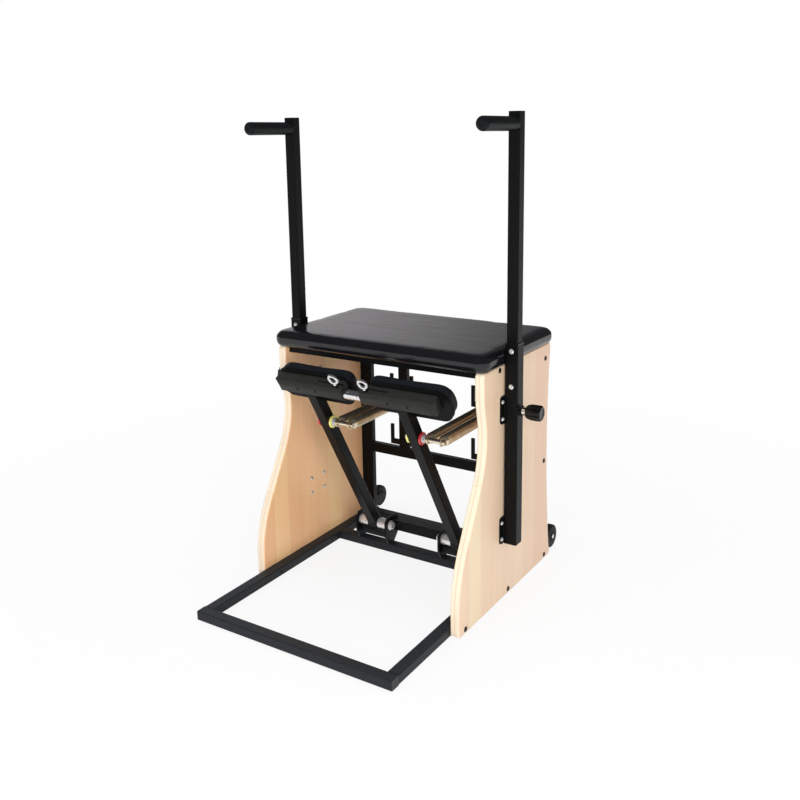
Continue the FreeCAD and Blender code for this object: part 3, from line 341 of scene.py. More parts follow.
def mirrored(piece: Piece) -> Piece:
    """Copy a piece to the chair's other side."""
    return copied(piece, Matrix.Scale(-1, 4, ACROSS))


def joined(pieces: Sequence[Piece]) -> Piece:
    """Join several forms into one piece.

    Args:
        pieces: The forms.

    Returns:
        The joined piece.
    """
    take(pieces[0])
    for piece in pieces[1:]:
        piece.select_set(True)
    bpy.ops.object.join()
    return pieces[0]


def repeated(piece: Piece, places: Sequence[Matrix]) -> Piece:
    """Copy one form to several places and join the copies into one piece.

    Args:
        piece: The form, which is used up.
        places: Where the copies go.

    Returns:
        The joined piece.
    """
    copies = [copied(piece, place) for place in places]
    bpy.data.objects.remove(piece)
    return joined(copies)


def modified(piece: Piece, kind: str, **settings: Any) -> Piece:
    """Add a modifier to a piece and apply it.

    Args:
        piece: The piece to change.
        kind: The modifier's type.
        **settings: The modifier's settings.

    Returns:
        The same piece.
    """
    modifier = take(piece).modifiers.new(kind.lower(), kind)
    for setting, value in settings.items():
        setattr(modifier, setting, value)
    bpy.ops.object.modifier_apply(modifier=modifier.name)
    return piece


def bored(piece: Piece, cutter: Piece) -> None:
    """Take one form out of another and use it up."""
    modified(piece, "BOOLEAN", operation="DIFFERENCE", solver="EXACT", object=cutter)
    bpy.data.objects.remove(cutter)


def swollen(piece: Piece, pressure: float, travel: float) -> None:
    """Let a cover fill out by a cloth simulation, with a cap on how far it moves.

    Args:
        piece: The closed pad, slightly smaller than the finished one.
        pressure: How hard the padding pushes.
        travel: The furthest that a point may move.
    """
    start = [corner.co.copy() for corner in take(piece).data.vertices]
    cover = piece.modifiers.new("cover", "CLOTH")
    cover.settings.use_pressure = True
    cover.settings.uniform_pressure_force = pressure
    cover.settings.effector_weights.gravity = 0
    cover.settings.tension_stiffness = CLOTH_STIFFNESS
    cover.settings.compression_stiffness = CLOTH_STIFFNESS
    for frame in range(1, CLOTH_FRAMES + 1):
        bpy.context.scene.frame_set(frame)
    bpy.ops.object.modifier_apply(modifier=cover.name)
    bpy.context.scene.frame_set(1)
    for corner, rest in zip(piece.data.vertices, start):
        move = corner.co - rest
        if move.length > travel:
            corner.co = rest + move * (travel / move.length)


@dataclass(frozen=True)
class Cover:
    """How a block becomes a pad: its mesh, its padding's push and how smooth it ends."""

    voxel: float
    pressure: float
    travel: float
    smoothing: int

    def stretch_over(self, pad: Piece) -> None:
        """Mesh a block evenly, let it swell, smooth it and divide its faces once.

        Args:
            pad: The block.
        """
        modified(pad, "REMESH", mode="VOXEL", voxel_size=self.voxel, use_smooth_shade=True)
        swollen(pad, self.pressure, self.travel)
        modified(pad, "SMOOTH", factor=0.5, iterations=self.smoothing)
        modified(pad, "SUBSURF", levels=1, render_levels=1)


# Finishes


class NodeSheet:
    """Places and wires the nodes of one tree."""

    def __init__(self, tree: bpy.types.NodeTree) -> None:
        """Start on a tree."""
        self.tree = tree

    def put(self, socket: Socket, value: Any) -> None:
        """Feed a socket.

        Args:
            socket: The input to feed.
            value: Another node's output, or a constant.
        """
        if isinstance(value, Socket):
            self.tree.links.new(value, socket)
        elif socket.type == "RGBA":
            socket.default_value = (*value, 1)
        else:
            socket.default_value = value

    def node(self, kind: str, inputs: Optional[Dict[Any, Any]] = None,
             **settings: Any) -> bpy.types.Node:
        """Add a node.

        Args:
            kind: The node's type.
            inputs: Constants or outputs for its inputs, by name or number.
            **settings: Its other settings.

        Returns:
            The node.
        """
        item = self.tree.nodes.new(kind)
        for setting, value in settings.items():
            setattr(item, setting, value)
        for key, value in (inputs or {}).items():
            self.put(item.inputs[key], value)
        return item

    def math(self, operation: str, *values: Any, clamp: bool = False) -> Socket:
        """Add a sum of one to three values, kept between 0 and 1 if clamped."""
        inputs = dict(enumerate(values))
        return self.node("ShaderNodeMath", inputs, operation=operation, use_clamp=clamp).outputs[0]

    def ranged(self, value: Socket, start: float = 0.0, end: float = 1.0, to: Pair = (0.0, 1.0),
               curve: str = "LINEAR") -> Socket:
        """Spread a range of a value over another range.

        Args:
            value: The value.
            start: What becomes the other range's start.
            end: What becomes the other range's end.
            to: The other range.
            curve: How the value runs between the two.

        Returns:
            The result's socket.
        """
        inputs = {"Value": value, "From Min": start, "From Max": end,
                  "To Min": to[0], "To Max": to[1]}
        item = self.node("ShaderNodeMapRange", inputs, interpolation_type=curve)
        return item.outputs["Result"]

    def mixed(self, share: Socket, first: Any, second: Any, blend: str = "MIX") -> Socket:
        """Mix a share of a second colour into a first one."""
        inputs = {0: share, 6: first, 7: second}
        return self.node("ShaderNodeMix", inputs, data_type="RGBA", blend_type=blend).outputs[2]

    def shaded(self, share: Socket, first: Socket, second: Socket) -> Socket:
        """Mix a share of a second shader into a first one."""
        return self.node("ShaderNodeMixShader", {0: share, 1: first, 2: second}).outputs[0]

    def parts(self, vector: Socket) -> Any:
        """Take a vector apart into its X, Y and Z."""
        return self.node("ShaderNodeSeparateXYZ", {0: vector}).outputs

    def stretched(self, vector: Socket, scale: Spot) -> Socket:
        """Stretch a pattern's coordinates along each axis."""
        return self.node("ShaderNodeMapping", {"Vector": vector, "Scale": scale}).outputs["Vector"]

    def noise(self, vector: Socket, scale: Any = 1, detail: float = 2,
              roughness: float = 0.5) -> Socket:
        """Add a noise pattern from 0 to 1, with finer layers."""
        inputs = {"Vector": vector, "Scale": scale, "Detail": detail, "Roughness": roughness}
        return self.node("ShaderNodeTexNoise", inputs).outputs["Fac"]

    def bump(self, height: Socket, depth: float, **others: Any) -> Socket:
        """Turn a height from 0 to 1 into a normal, for a depth in metres."""
        inputs = {"Height": height, "Distance": depth, **others}
        return self.node("ShaderNodeBump", inputs).outputs["Normal"]

    def coordinates(self, kind: str = "Object") -> Socket:
        """The place on the piece in metres, or other coordinates."""
        return self.node("ShaderNodeTexCoord").outputs[kind]


def fresh_sheet(owner: Any) -> NodeSheet:
    """Start an empty node tree.

    Args:
        owner: The material or world that the tree belongs to.

    Returns:
        The tree's sheet.
    """
    owner.use_nodes = True
    owner.node_tree.nodes.clear()
    return NodeSheet(owner.node_tree)


class Effect(Enum):
    """The surface effects that several finishes share."""

    SKIN = "skin_grain"
    WEAR = "handling_wear"
    TIMBER = "timber_figure"


class Effects:
    """Builds each shared effect once, as a node group."""

    skin_layers = (3, 0.6)
    clouds = (14, 4, 0.55)
    patches = (6, 5, 0.65)
    rub_stretch = (260, 260, 18)
    rub_range = (0.24, 0.42)
    side_step = 23.5
    hue_step = 71.3
    stave_shift = 9.0
    slow_stretch = (9, 26, 1.7)
    slow_noise = (1, 3)
    line_stretch = (40, 150, 2.6)
    line_noise = (1, 4, 0.6)
    pore_stretch = (900, 900, 36)
    growth_waves = 38.0
    growth_share = 0.22
    seam_range = (0.485, 0.5)

    def __init__(self) -> None:
        """Build every group."""
        self.groups = {
            Effect.SKIN: self._group(Effect.SKIN, ("Scale", "Cells"), self._skin),
            Effect.WEAR: self._group(Effect.WEAR, ("Amount",), self._wear),
            Effect.TIMBER: self._group(Effect.TIMBER, ("Stave",), self._timber),
        }

    @staticmethod
    def _group(effect: Effect, numbers: Sequence[str],
               build: Callable[[NodeSheet, Any], Dict[str, Socket]]) -> bpy.types.NodeTree:
        """Make one group.

        Args:
            effect: Which effect it is.
            numbers: The names of its inputs beside its coordinates.
            build: Fills the group and says what feeds each output.

        Returns:
            The group's tree.
        """
        tree = bpy.data.node_groups.new(effect.value, "ShaderNodeTree")
        tree.interface.new_socket("Vector", in_out="INPUT", socket_type="NodeSocketVector")
        for label in numbers:
            tree.interface.new_socket(label, in_out="INPUT", socket_type="NodeSocketFloat")
        sheet = NodeSheet(tree)
        feeds = build(sheet, sheet.node("NodeGroupInput").outputs)
        for label in feeds:
            tree.interface.new_socket(label, in_out="OUTPUT", socket_type="NodeSocketFloat")
        sheet.node("NodeGroupOutput", feeds)
        return tree

    def _skin(self, sheet: NodeSheet, entry: Any) -> Dict[str, Socket]:
        """Fine bumps of a coat or a hide, and slow cloudiness.

        Args:
            sheet: The group's sheet.
            entry: The group's inputs.

        Returns:
            The outputs' feeds.
        """
        place, scale = entry["Vector"], entry["Scale"]
        bumps = sheet.noise(place, scale, *self.skin_layers)
        cells = sheet.node(
            "ShaderNodeTexVoronoi", {"Vector": place, "Scale": scale}, feature="SMOOTH_F1")
        inputs = {0: entry["Cells"], 2: bumps, 3: cells.outputs["Distance"]}
        height = sheet.node("ShaderNodeMix", inputs, data_type="FLOAT").outputs[0]
        return {"Height": height, "Cloud": sheet.noise(place, *self.clouds)}

    def _wear(self, sheet: NodeSheet, entry: Any) -> Dict[str, Socket]:
        """Thin rubs and dull patches from handling.

        Args:
            sheet: The group's sheet.
            entry: The group's inputs.

        Returns:
            The outputs' feeds.
        """
        patches = sheet.noise(entry["Vector"], *self.patches)
        rubs = sheet.noise(sheet.stretched(entry["Vector"], self.rub_stretch))
        over = sheet.ranged(sheet.math("MULTIPLY", patches, rubs), *self.rub_range)
        return {"Mask": sheet.math("MULTIPLY", over, entry["Amount"], clamp=True)}

    def _timber(self, sheet: NodeSheet, entry: Any) -> Dict[str, Socket]:
        """Upright staves, each with its own tone and growth lines, and open pores.

        Args:
            sheet: The group's sheet.
            entry: The group's inputs.

        Returns:
            The outputs' feeds.
        """
        place = sheet.parts(entry["Vector"])
        count = sheet.math("DIVIDE", place["Y"], entry["Stave"])
        panel = sheet.math("MULTIPLY", sheet.math("SIGN", place["X"]), self.side_step)
        number = sheet.math("ADD", sheet.math("FLOOR", count), panel)
        tone, hue = (
            sheet.node("ShaderNodeTexWhiteNoise", {"W": seed}, noise_dimensions="1D").outputs[0]
            for seed in (number, sheet.math("ADD", number, self.hue_step)))
        shift = sheet.math("MULTIPLY", tone, self.stave_shift)
        inputs = {"X": place["X"], **{axis: sheet.math("ADD", place[axis], shift) for axis in "YZ"}}
        moved = sheet.node("ShaderNodeCombineXYZ", inputs).outputs[0]
        slow = sheet.noise(sheet.stretched(moved, self.slow_stretch), *self.slow_noise)
        lines = sheet.noise(sheet.stretched(moved, self.line_stretch), *self.line_noise)
        growth = sheet.math("SINE", sheet.math("MULTIPLY", slow, self.growth_waves))
        gap = sheet.math("ABSOLUTE", sheet.math("SUBTRACT", sheet.math("FRACT", count), 0.5))
        return {
            "Tone": tone,
            "Hue": hue,
            "Figure": sheet.math("ADD", sheet.math("MULTIPLY", growth, self.growth_share), lines),
            "Pores": sheet.noise(sheet.stretched(moved, self.pore_stretch)),
            "Seam": sheet.ranged(gap, *self.seam_range),
        }

    def place(self, sheet: NodeSheet, effect: Effect, **inputs: Any) -> Any:
        """Put an effect into a material, and give its outputs."""
        return sheet.node("ShaderNodeGroup", inputs, node_tree=self.groups[effect]).outputs


@dataclass(frozen=True)
class Finish:
    """What every finish does: start a material and feed its one shader."""

    def make(self, name: str, effects: Effects) -> bpy.types.Material:
        """Make the finish's material.

        Args:
            name: The material's name.
            effects: The shared effects.

        Returns:
            The material.
        """
        material = bpy.data.materials.new(name)
        sheet = fresh_sheet(material)
        shader = sheet.node("ShaderNodeBsdfPrincipled", self.paint(sheet, effects))
        sheet.node("ShaderNodeOutputMaterial", {"Surface": shader.outputs[0]})
        return material

    def paint(self, sheet: NodeSheet, effects: Effects) -> Dict[str, Any]:
        """Build the finish's patterns.

        Args:
            sheet: The material's sheet.
            effects: The shared effects.

        Returns:
            What feeds each of the shader's inputs: an output, or a constant.
        """
        raise NotImplementedError


@dataclass(frozen=True)
class CoatFinish(Finish):
    """A paint, plastic or rubber: a colour with a fine skin, cloudy gloss, wear and maybe painted
    top light.
    """

    colour: Colour
    worn: Colour
    rough: Pair
    skin: float
    depth: float
    cells: float = 0.0
    specular: float = 0.5
    coat: float = 0.0
    coat_rough: float = 0.12
    cloud: Pair = (0.85, 1.15)
    wear: float = 0.4
    wear_rough: float = 0.12
    dust: Optional[Colour] = None
    dust_slope: Pair = (0.5, 0.95)
    dust_height: Pair = (0.055, 0.035)
    dust_low: float = 0.6

    def paint(self, sheet: NodeSheet, effects: Effects) -> Dict[str, Any]:
        """Build the coat's patterns.

        Args:
            sheet: The material's sheet.
            effects: The shared effects.

        Returns:
            What feeds each of the shader's inputs.
        """
        place = sheet.coordinates()
        skin = effects.place(sheet, Effect.SKIN, Vector=place, Scale=self.skin, Cells=self.cells)
        worn = effects.place(sheet, Effect.WEAR, Vector=place, Amount=self.wear)["Mask"]
        tones = [tuple(share * part for part in self.colour) for share in self.cloud]
        colour = sheet.mixed(worn, sheet.mixed(skin["Cloud"], *tones), self.worn)
        # Painted light: a paler tone on upward-facing faces (the settled mask) and on the lowest
        # tubes stands in for the overhead light they catch.
        if self.dust:
            upward = sheet.parts(sheet.coordinates("Normal"))["Z"]
            settled = sheet.ranged(upward, *self.dust_slope)
            painted_low_light = sheet.ranged(sheet.parts(place)["Z"], *self.dust_height, (0.0, self.dust_low))
            colour = sheet.mixed(sheet.math("MAXIMUM", settled, painted_low_light), colour, self.dust)
        rough = sheet.ranged(skin["Cloud"], to=self.rough)
        rubbed = sheet.math("MULTIPLY", worn, self.wear_rough)
        return {
            "Base Color": colour,
            "Roughness": sheet.math("ADD", rough, rubbed, clamp=True),
            "Normal": sheet.bump(skin["Height"], self.depth),
            "Specular IOR Level": self.specular,
            "Coat Weight": self.coat,
            "Coat Roughness": self.coat_rough,
        }


@dataclass(frozen=True)
class HideFinish(Finish):
    """Upholstery vinyl: a pebbled skin with long soft pulls in its surface."""

    colour: Colour
    sheen: Colour
    rough: Pair
    pebble: float
    depth: float
    pull: float
    pulls_along: Spot
    specular: float
    pull_noise: Spot = (1, 3, 0.55)
    cells: float = 0.8
    wear: float = 0.25
    wear_rough: float = 0.2

    def paint(self, sheet: NodeSheet, effects: Effects) -> Dict[str, Any]:
        """Build the hide's patterns.

        Args:
            sheet: The material's sheet.
            effects: The shared effects.

        Returns:
            What feeds each of the shader's inputs.
        """
        place = sheet.coordinates()
        skin = effects.place(sheet, Effect.SKIN, Vector=place, Scale=self.pebble, Cells=self.cells)
        worn = effects.place(sheet, Effect.WEAR, Vector=place, Amount=self.wear)["Mask"]
        pulls = sheet.noise(sheet.stretched(place, self.pulls_along), *self.pull_noise)
        fine = sheet.bump(skin["Height"], self.depth)
        rough = sheet.ranged(skin["Cloud"], to=self.rough)
        rubbed = sheet.math("MULTIPLY", worn, self.wear_rough)
        return {
            "Base Color": sheet.mixed(skin["Cloud"], self.colour, self.sheen),
            "Roughness": sheet.math("ADD", rough, rubbed, clamp=True),
            "Normal": sheet.bump(pulls, self.pull, Normal=fine),
            "Specular IOR Level": self.specular,
        }


@dataclass(frozen=True)
class MetalFinish(Finish):
    """A bare or plated metal with drawn streaks and a dull film in places."""

    colour: Colour
    film: Colour
    rough: Pair
    streak: Spot = (500, 500, 500)
    depth: float = 0.00004
    metallic: float = 1.0
    wear: float = 0.8
    streak_noise: Pair = (1, 3)
    film_noise: Pair = (45, 3)

    def paint(self, sheet: NodeSheet, effects: Effects) -> Dict[str, Any]:
        """Build the metal's patterns.

        Args:
            sheet: The material's sheet.
            effects: The shared effects.

        Returns:
            What feeds each of the shader's inputs.
        """
        place = sheet.coordinates()
        worn = effects.place(sheet, Effect.WEAR, Vector=place, Amount=self.wear)["Mask"]
        streaks = sheet.noise(sheet.stretched(place, self.streak), *self.streak_noise)
        dull = sheet.math("MAXIMUM", worn, sheet.noise(place, *self.film_noise))
        return {
            "Base Color": sheet.mixed(dull, self.colour, self.film),
            "Roughness": sheet.ranged(streaks, to=self.rough),
            "Normal": sheet.bump(streaks, self.depth),
            "Metallic": self.metallic,
        }


@dataclass(frozen=True)
class TimberFinish(Finish):
    """Lacquered staves, with a painted warm bounce-light tint on the inner face and paler on the
    routed edges.
    """

    pale: Colour
    dark: Colour
    straw: Colour
    blush: Colour
    # inner: a warm tint for the inner face, painted bounce light and shade between the panels
    inner: Colour
    edge: Colour
    stave: float
    inner_face: float
    outer_face: float
    round_over: float
    tone_share: float = 0.5
    figure_share: float = 0.55
    hue_range: Pair = (0.2, 0.8)
    tint_range: Pair = (0.4, 0.75)
    edge_share: float = 0.75
    glue_line: Pair = (0.0022, 0.00066)
    glue_share: float = 0.6
    seam_share: float = 0.34
    pore_share: float = 0.5
    depth: float = 0.00012
    bump_strength: float = 0.6
    rough: Pair = (0.3, 0.46)
    coat: float = 0.18
    coat_rough: float = 0.25
    specular: float = 0.4

    def paint(self, sheet: NodeSheet, effects: Effects) -> Dict[str, Any]:
        """Build the timber's patterns.

        Args:
            sheet: The material's sheet.
            effects: The shared effects.

        Returns:
            What feeds each of the shader's inputs.
        """
        place = sheet.coordinates()
        timber = effects.place(sheet, Effect.TIMBER, Vector=place, Stave=self.stave)
        figure = sheet.math("MULTIPLY", timber["Figure"], self.figure_share)
        tone = sheet.math("MULTIPLY_ADD", timber["Tone"], self.tone_share, figure, clamp=True)
        lean = sheet.ranged(timber["Hue"], *self.hue_range, curve="SMOOTHSTEP")
        tint = sheet.mixed(lean, self.straw, self.blush)
        tinted = sheet.ranged(timber["Figure"], to=self.tint_range)
        body = sheet.mixed(tinted, sheet.mixed(tone, self.pale, self.dark), tint)

        across = sheet.math("ABSOLUTE", sheet.parts(place)["X"])
        inward = sheet.ranged(across, self.inner_face + self.round_over, self.inner_face)
        outward = sheet.ranged(across, self.outer_face - self.round_over, self.outer_face)
        # Painted light: the inner face takes a warm tint standing in for the bounce light and shade
        # between the panels.
        painted_bounce_tint = sheet.mixed(inward, body, self.inner, "MULTIPLY")
        rim = sheet.math("SUBTRACT", 1.0, sheet.math("MAXIMUM", inward, outward), clamp=True)
        edged = sheet.mixed(sheet.math("MULTIPLY", rim, self.edge_share), painted_bounce_tint, self.edge)

        middle = (self.inner_face + self.outer_face) / 2
        off_middle = sheet.math("ABSOLUTE", sheet.math("SUBTRACT", across, middle))
        glue = sheet.math("MULTIPLY", sheet.ranged(off_middle, *self.glue_line), rim)
        glued = sheet.mixed(sheet.math("MULTIPLY", glue, self.glue_share), edged, self.dark)
        seam = sheet.math("MULTIPLY", timber["Seam"], self.seam_share)

        raised_lines = sheet.math("MULTIPLY", timber["Figure"], self.pore_share)
        height = sheet.math("MULTIPLY_ADD", timber["Pores"], self.pore_share, raised_lines)
        return {
            "Base Color": sheet.mixed(seam, glued, self.dark),
            "Roughness": sheet.ranged(timber["Pores"], to=self.rough),
            "Normal": sheet.bump(height, self.depth, Strength=self.bump_strength),
            "Coat Weight": self.coat,
            "Coat Roughness": self.coat_rough,
            "Specular IOR Level": self.specular,
        }


BLACK = (0.0028, 0.0030, 0.0032)
FINISHES: Dict[str, Finish] = {
    "panel_wood": TimberFinish(
        pale=(0.86, 0.68, 0.47), dark=(0.64, 0.43, 0.26), straw=(0.87, 0.72, 0.50),
        # inner is a painted warm tint for the inner face's bounce light and shade.
        blush=(0.82, 0.55, 0.41), inner=(1.12, 0.94, 0.70), edge=(0.74, 0.67, 0.53),
        stave=0.062, inner_face=0.291, outer_face=0.316, round_over=0.004),
    "black_board": CoatFinish(
        BLACK, (0.012, 0.011, 0.010), (0.45, 0.62), skin=420, depth=0.00025, specular=0.12),
    "seat_vinyl": HideFinish(
        (0.0045, 0.0045, 0.0056), (0.0070, 0.0070, 0.0088), (0.12, 0.2), pebble=900, depth=0.00002,
        pull=0.0008, pulls_along=(5, 18, 46), specular=0.5),
    "pedal_vinyl": HideFinish(
        (0.0052, 0.0064, 0.0084), (0.0072, 0.0090, 0.0115), (0.36, 0.48), pebble=800, depth=0.00006,
        pull=0.0005, pulls_along=(14, 30, 30), specular=0.2),
    "pedal_rail": CoatFinish(
        (0.0160, 0.0166, 0.0146), (0.024, 0.024, 0.021), (0.34, 0.46), skin=1100, depth=0.00008,
        specular=0.2),
    "black_coat": CoatFinish(
        BLACK, (0.0065, 0.0068, 0.007), (0.32, 0.44), skin=1300, depth=0.00010, specular=0.12,
        # The paler tone here is painted top light on the frame's upward faces and lowest tubes.
        dust=(0.0250, 0.0280, 0.0330)),
    "black_plastic": CoatFinish(
        BLACK, (0.010, 0.010, 0.010), (0.22, 0.34), skin=700, cells=0.5, depth=0.00008,
        specular=0.32),
    "bright_steel": MetalFinish(
        (0.84, 0.84, 0.85), (0.70, 0.70, 0.70), (0.2, 0.36), metallic=0.7),
    "dark_screw": MetalFinish((0.06, 0.055, 0.05), (0.03, 0.03, 0.03), (0.3, 0.45)),
    "chrome": MetalFinish((0.88, 0.88, 0.89), (0.74, 0.74, 0.75), (0.06, 0.14), depth=0.00001),
    "spring_wire": MetalFinish(
        (0.95, 0.85, 0.68), (0.72, 0.62, 0.47), (0.15, 0.25), streak=(90, 600, 600), metallic=0.96),
    "red_cap": CoatFinish(
        (0.45, 0.02, 0.025), (0.5, 0.06, 0.06), (0.15, 0.25), skin=300, depth=0.00003, coat=0.3),
    "yellow_cap": CoatFinish(
        (0.70, 0.64, 0.16), (0.74, 0.70, 0.3), (0.15, 0.25), skin=300, depth=0.00003, coat=0.3),
    "grip_vinyl": CoatFinish(
        (0.0052, 0.0062, 0.0074), (0.009, 0.010, 0.0115), (0.38, 0.5), skin=520, cells=0.7,
        depth=0.00012, specular=0.14),
    "wheel_rubber": CoatFinish(
        (0.010, 0.010, 0.010), (0.025, 0.025, 0.025), (0.5, 0.66), skin=600, depth=0.0001,
        specular=0.3),
}


class Palette:
    """The finishes as materials, one for each slot of the record."""

    def __init__(self) -> None:
        """Make every material."""
        effects = Effects()
        self.materials = {slot: finish.make(slot, effects) for slot, finish in FINISHES.items()}

    def dress(self, piece: Piece, slot: str) -> None:
        """Give a piece or CAD node the material of a slot of the record."""
        piece.data.materials.clear()
        piece.data.materials.append(self.materials[slot])


# The chair's sub-assemblies


@dataclass
class SubAssembly:
    """Pieces that are made together and dressed from one palette."""

    palette: Palette

    def hand_in(self, name: str, piece: Piece, slot: str, nodes: Sequence[str] = (),
                body: Optional[str] = "frame") -> Piece:
        """Name, shade and dress a finished piece, hide its CAD nodes and set it on its body.

        Args:
            name: The piece's name.
            piece: The piece.
            slot: The record's slot that it takes its finish from.
            nodes: The CAD nodes that it stands for.
            body: The body that it rides on, or None to leave it unattached.

        Returns:
            The same piece.
        """
        take(piece).name = name
        piece.data.name = name
        bpy.ops.object.shade_smooth_by_angle(angle=SMOOTH_ANGLE)
        self.palette.dress(piece, slot)
        if nodes:
            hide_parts(*nodes)
        if body is not None:
            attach(piece, body)
        LOG.info("%s: %d faces, on %s", name, len(piece.data.polygons), body)
        return piece


@dataclass
class Seat(SubAssembly):
    """The padded seat on its board."""

    half_width: float = 0.3290
    front: float = -0.0635
    rear: float = 0.3530
    under: float = 0.627
    top: float = 0.6685
    corner: float = 0.028
    corner_steps: int = 10
    shoulder: float = 0.012
    shoulder_steps: int = 6
    hem: float = 0.016
    hem_steps: int = 3
    cover: Cover = Cover(voxel=0.0053, pressure=4.0, travel=0.0035, smoothing=2)
    border: float = 0.016
    border_fall: float = 0.45
    sleeve_y: float = 0.07275
    sleeve_side: float = 0.3187
    sleeve_half: float = 0.0195
    dent_slope: float = 0.5
    tuck_depth: float = 0.0014
    tuck_width: float = 4.0
    tuck_angles: Tuple[float, ...] = (22.0, 45.0, 68.0)

    def build(self) -> None:
        """Make the seat pad: a rounded block, swollen under its cover and tucked at the corners."""
        pad = box((-self.half_width, self.front, self.under),
                  (self.half_width, self.rear, self.top))
        bevel_edges(pad, lambda edge: along(edge, UPRIGHT), self.corner, self.corner_steps)
        bevel_edges(pad, lambda edge: lies_at(edge, UPRIGHT, self.top), self.shoulder,
                    self.shoulder_steps)
        bevel_edges(pad, lambda edge: lies_at(edge, UPRIGHT, self.under), self.hem, self.hem_steps)
        self.cover.stretch_over(pad)
        self.tuck_corners(pad)
        self.hand_in("seat_pad", pad, "seat_vinyl", ["seat_cushion"])

    def tuck_corners(self, pad: Piece) -> None:
        """Press folds into the corners, slope the top's border and dent the pad at the sleeves.

        Args:
            pad: The swollen pad.
        """
        middle = Vector((0, (self.front + self.rear) / 2, 0))
        half_depth = (self.rear - self.front) / 2
        reach = Vector((self.half_width - self.corner, half_depth - self.corner, 0))
        rise = self.top - self.under
        for point in pad.data.vertices:
            away = point.co - middle
            out = Vector((abs(away.x) - reach.x, abs(away.y) - reach.y, 0))
            if out.x > 0 and out.y > 0 and out.length > self.corner / 2:
                angle = math.degrees(math.atan2(out.y, out.x))
                near = sum(math.exp(-((angle - fold) / self.tuck_width) ** 2)
                           for fold in self.tuck_angles)
                fade = max(0.0, 1 - (point.co.z - self.under) / rise)
                push = out.normalized() * (self.tuck_depth * near * fade)
                point.co.x -= math.copysign(push.x, away.x)
                point.co.y -= math.copysign(push.y, away.y)
            outside = Vector((max(out.x, 0.0), max(out.y, 0.0))).length
            inside = min(max(out.x, out.y), 0.0)
            edge_gap = self.corner - (outside + inside)
            if edge_gap < self.border:
                share = max(0.0, min(1.0, 1 - (self.top - point.co.z) / self.border))
                point.co.z -= (self.border - edge_gap) * self.border_fall * share
            clear = max(0.0, abs(point.co.y - self.sleeve_y) - self.sleeve_half)
            widest = self.sleeve_side + clear * self.dent_slope
            point.co.x = max(-widest, min(widest, point.co.x))
            point.co.z = max(self.under, point.co.z)


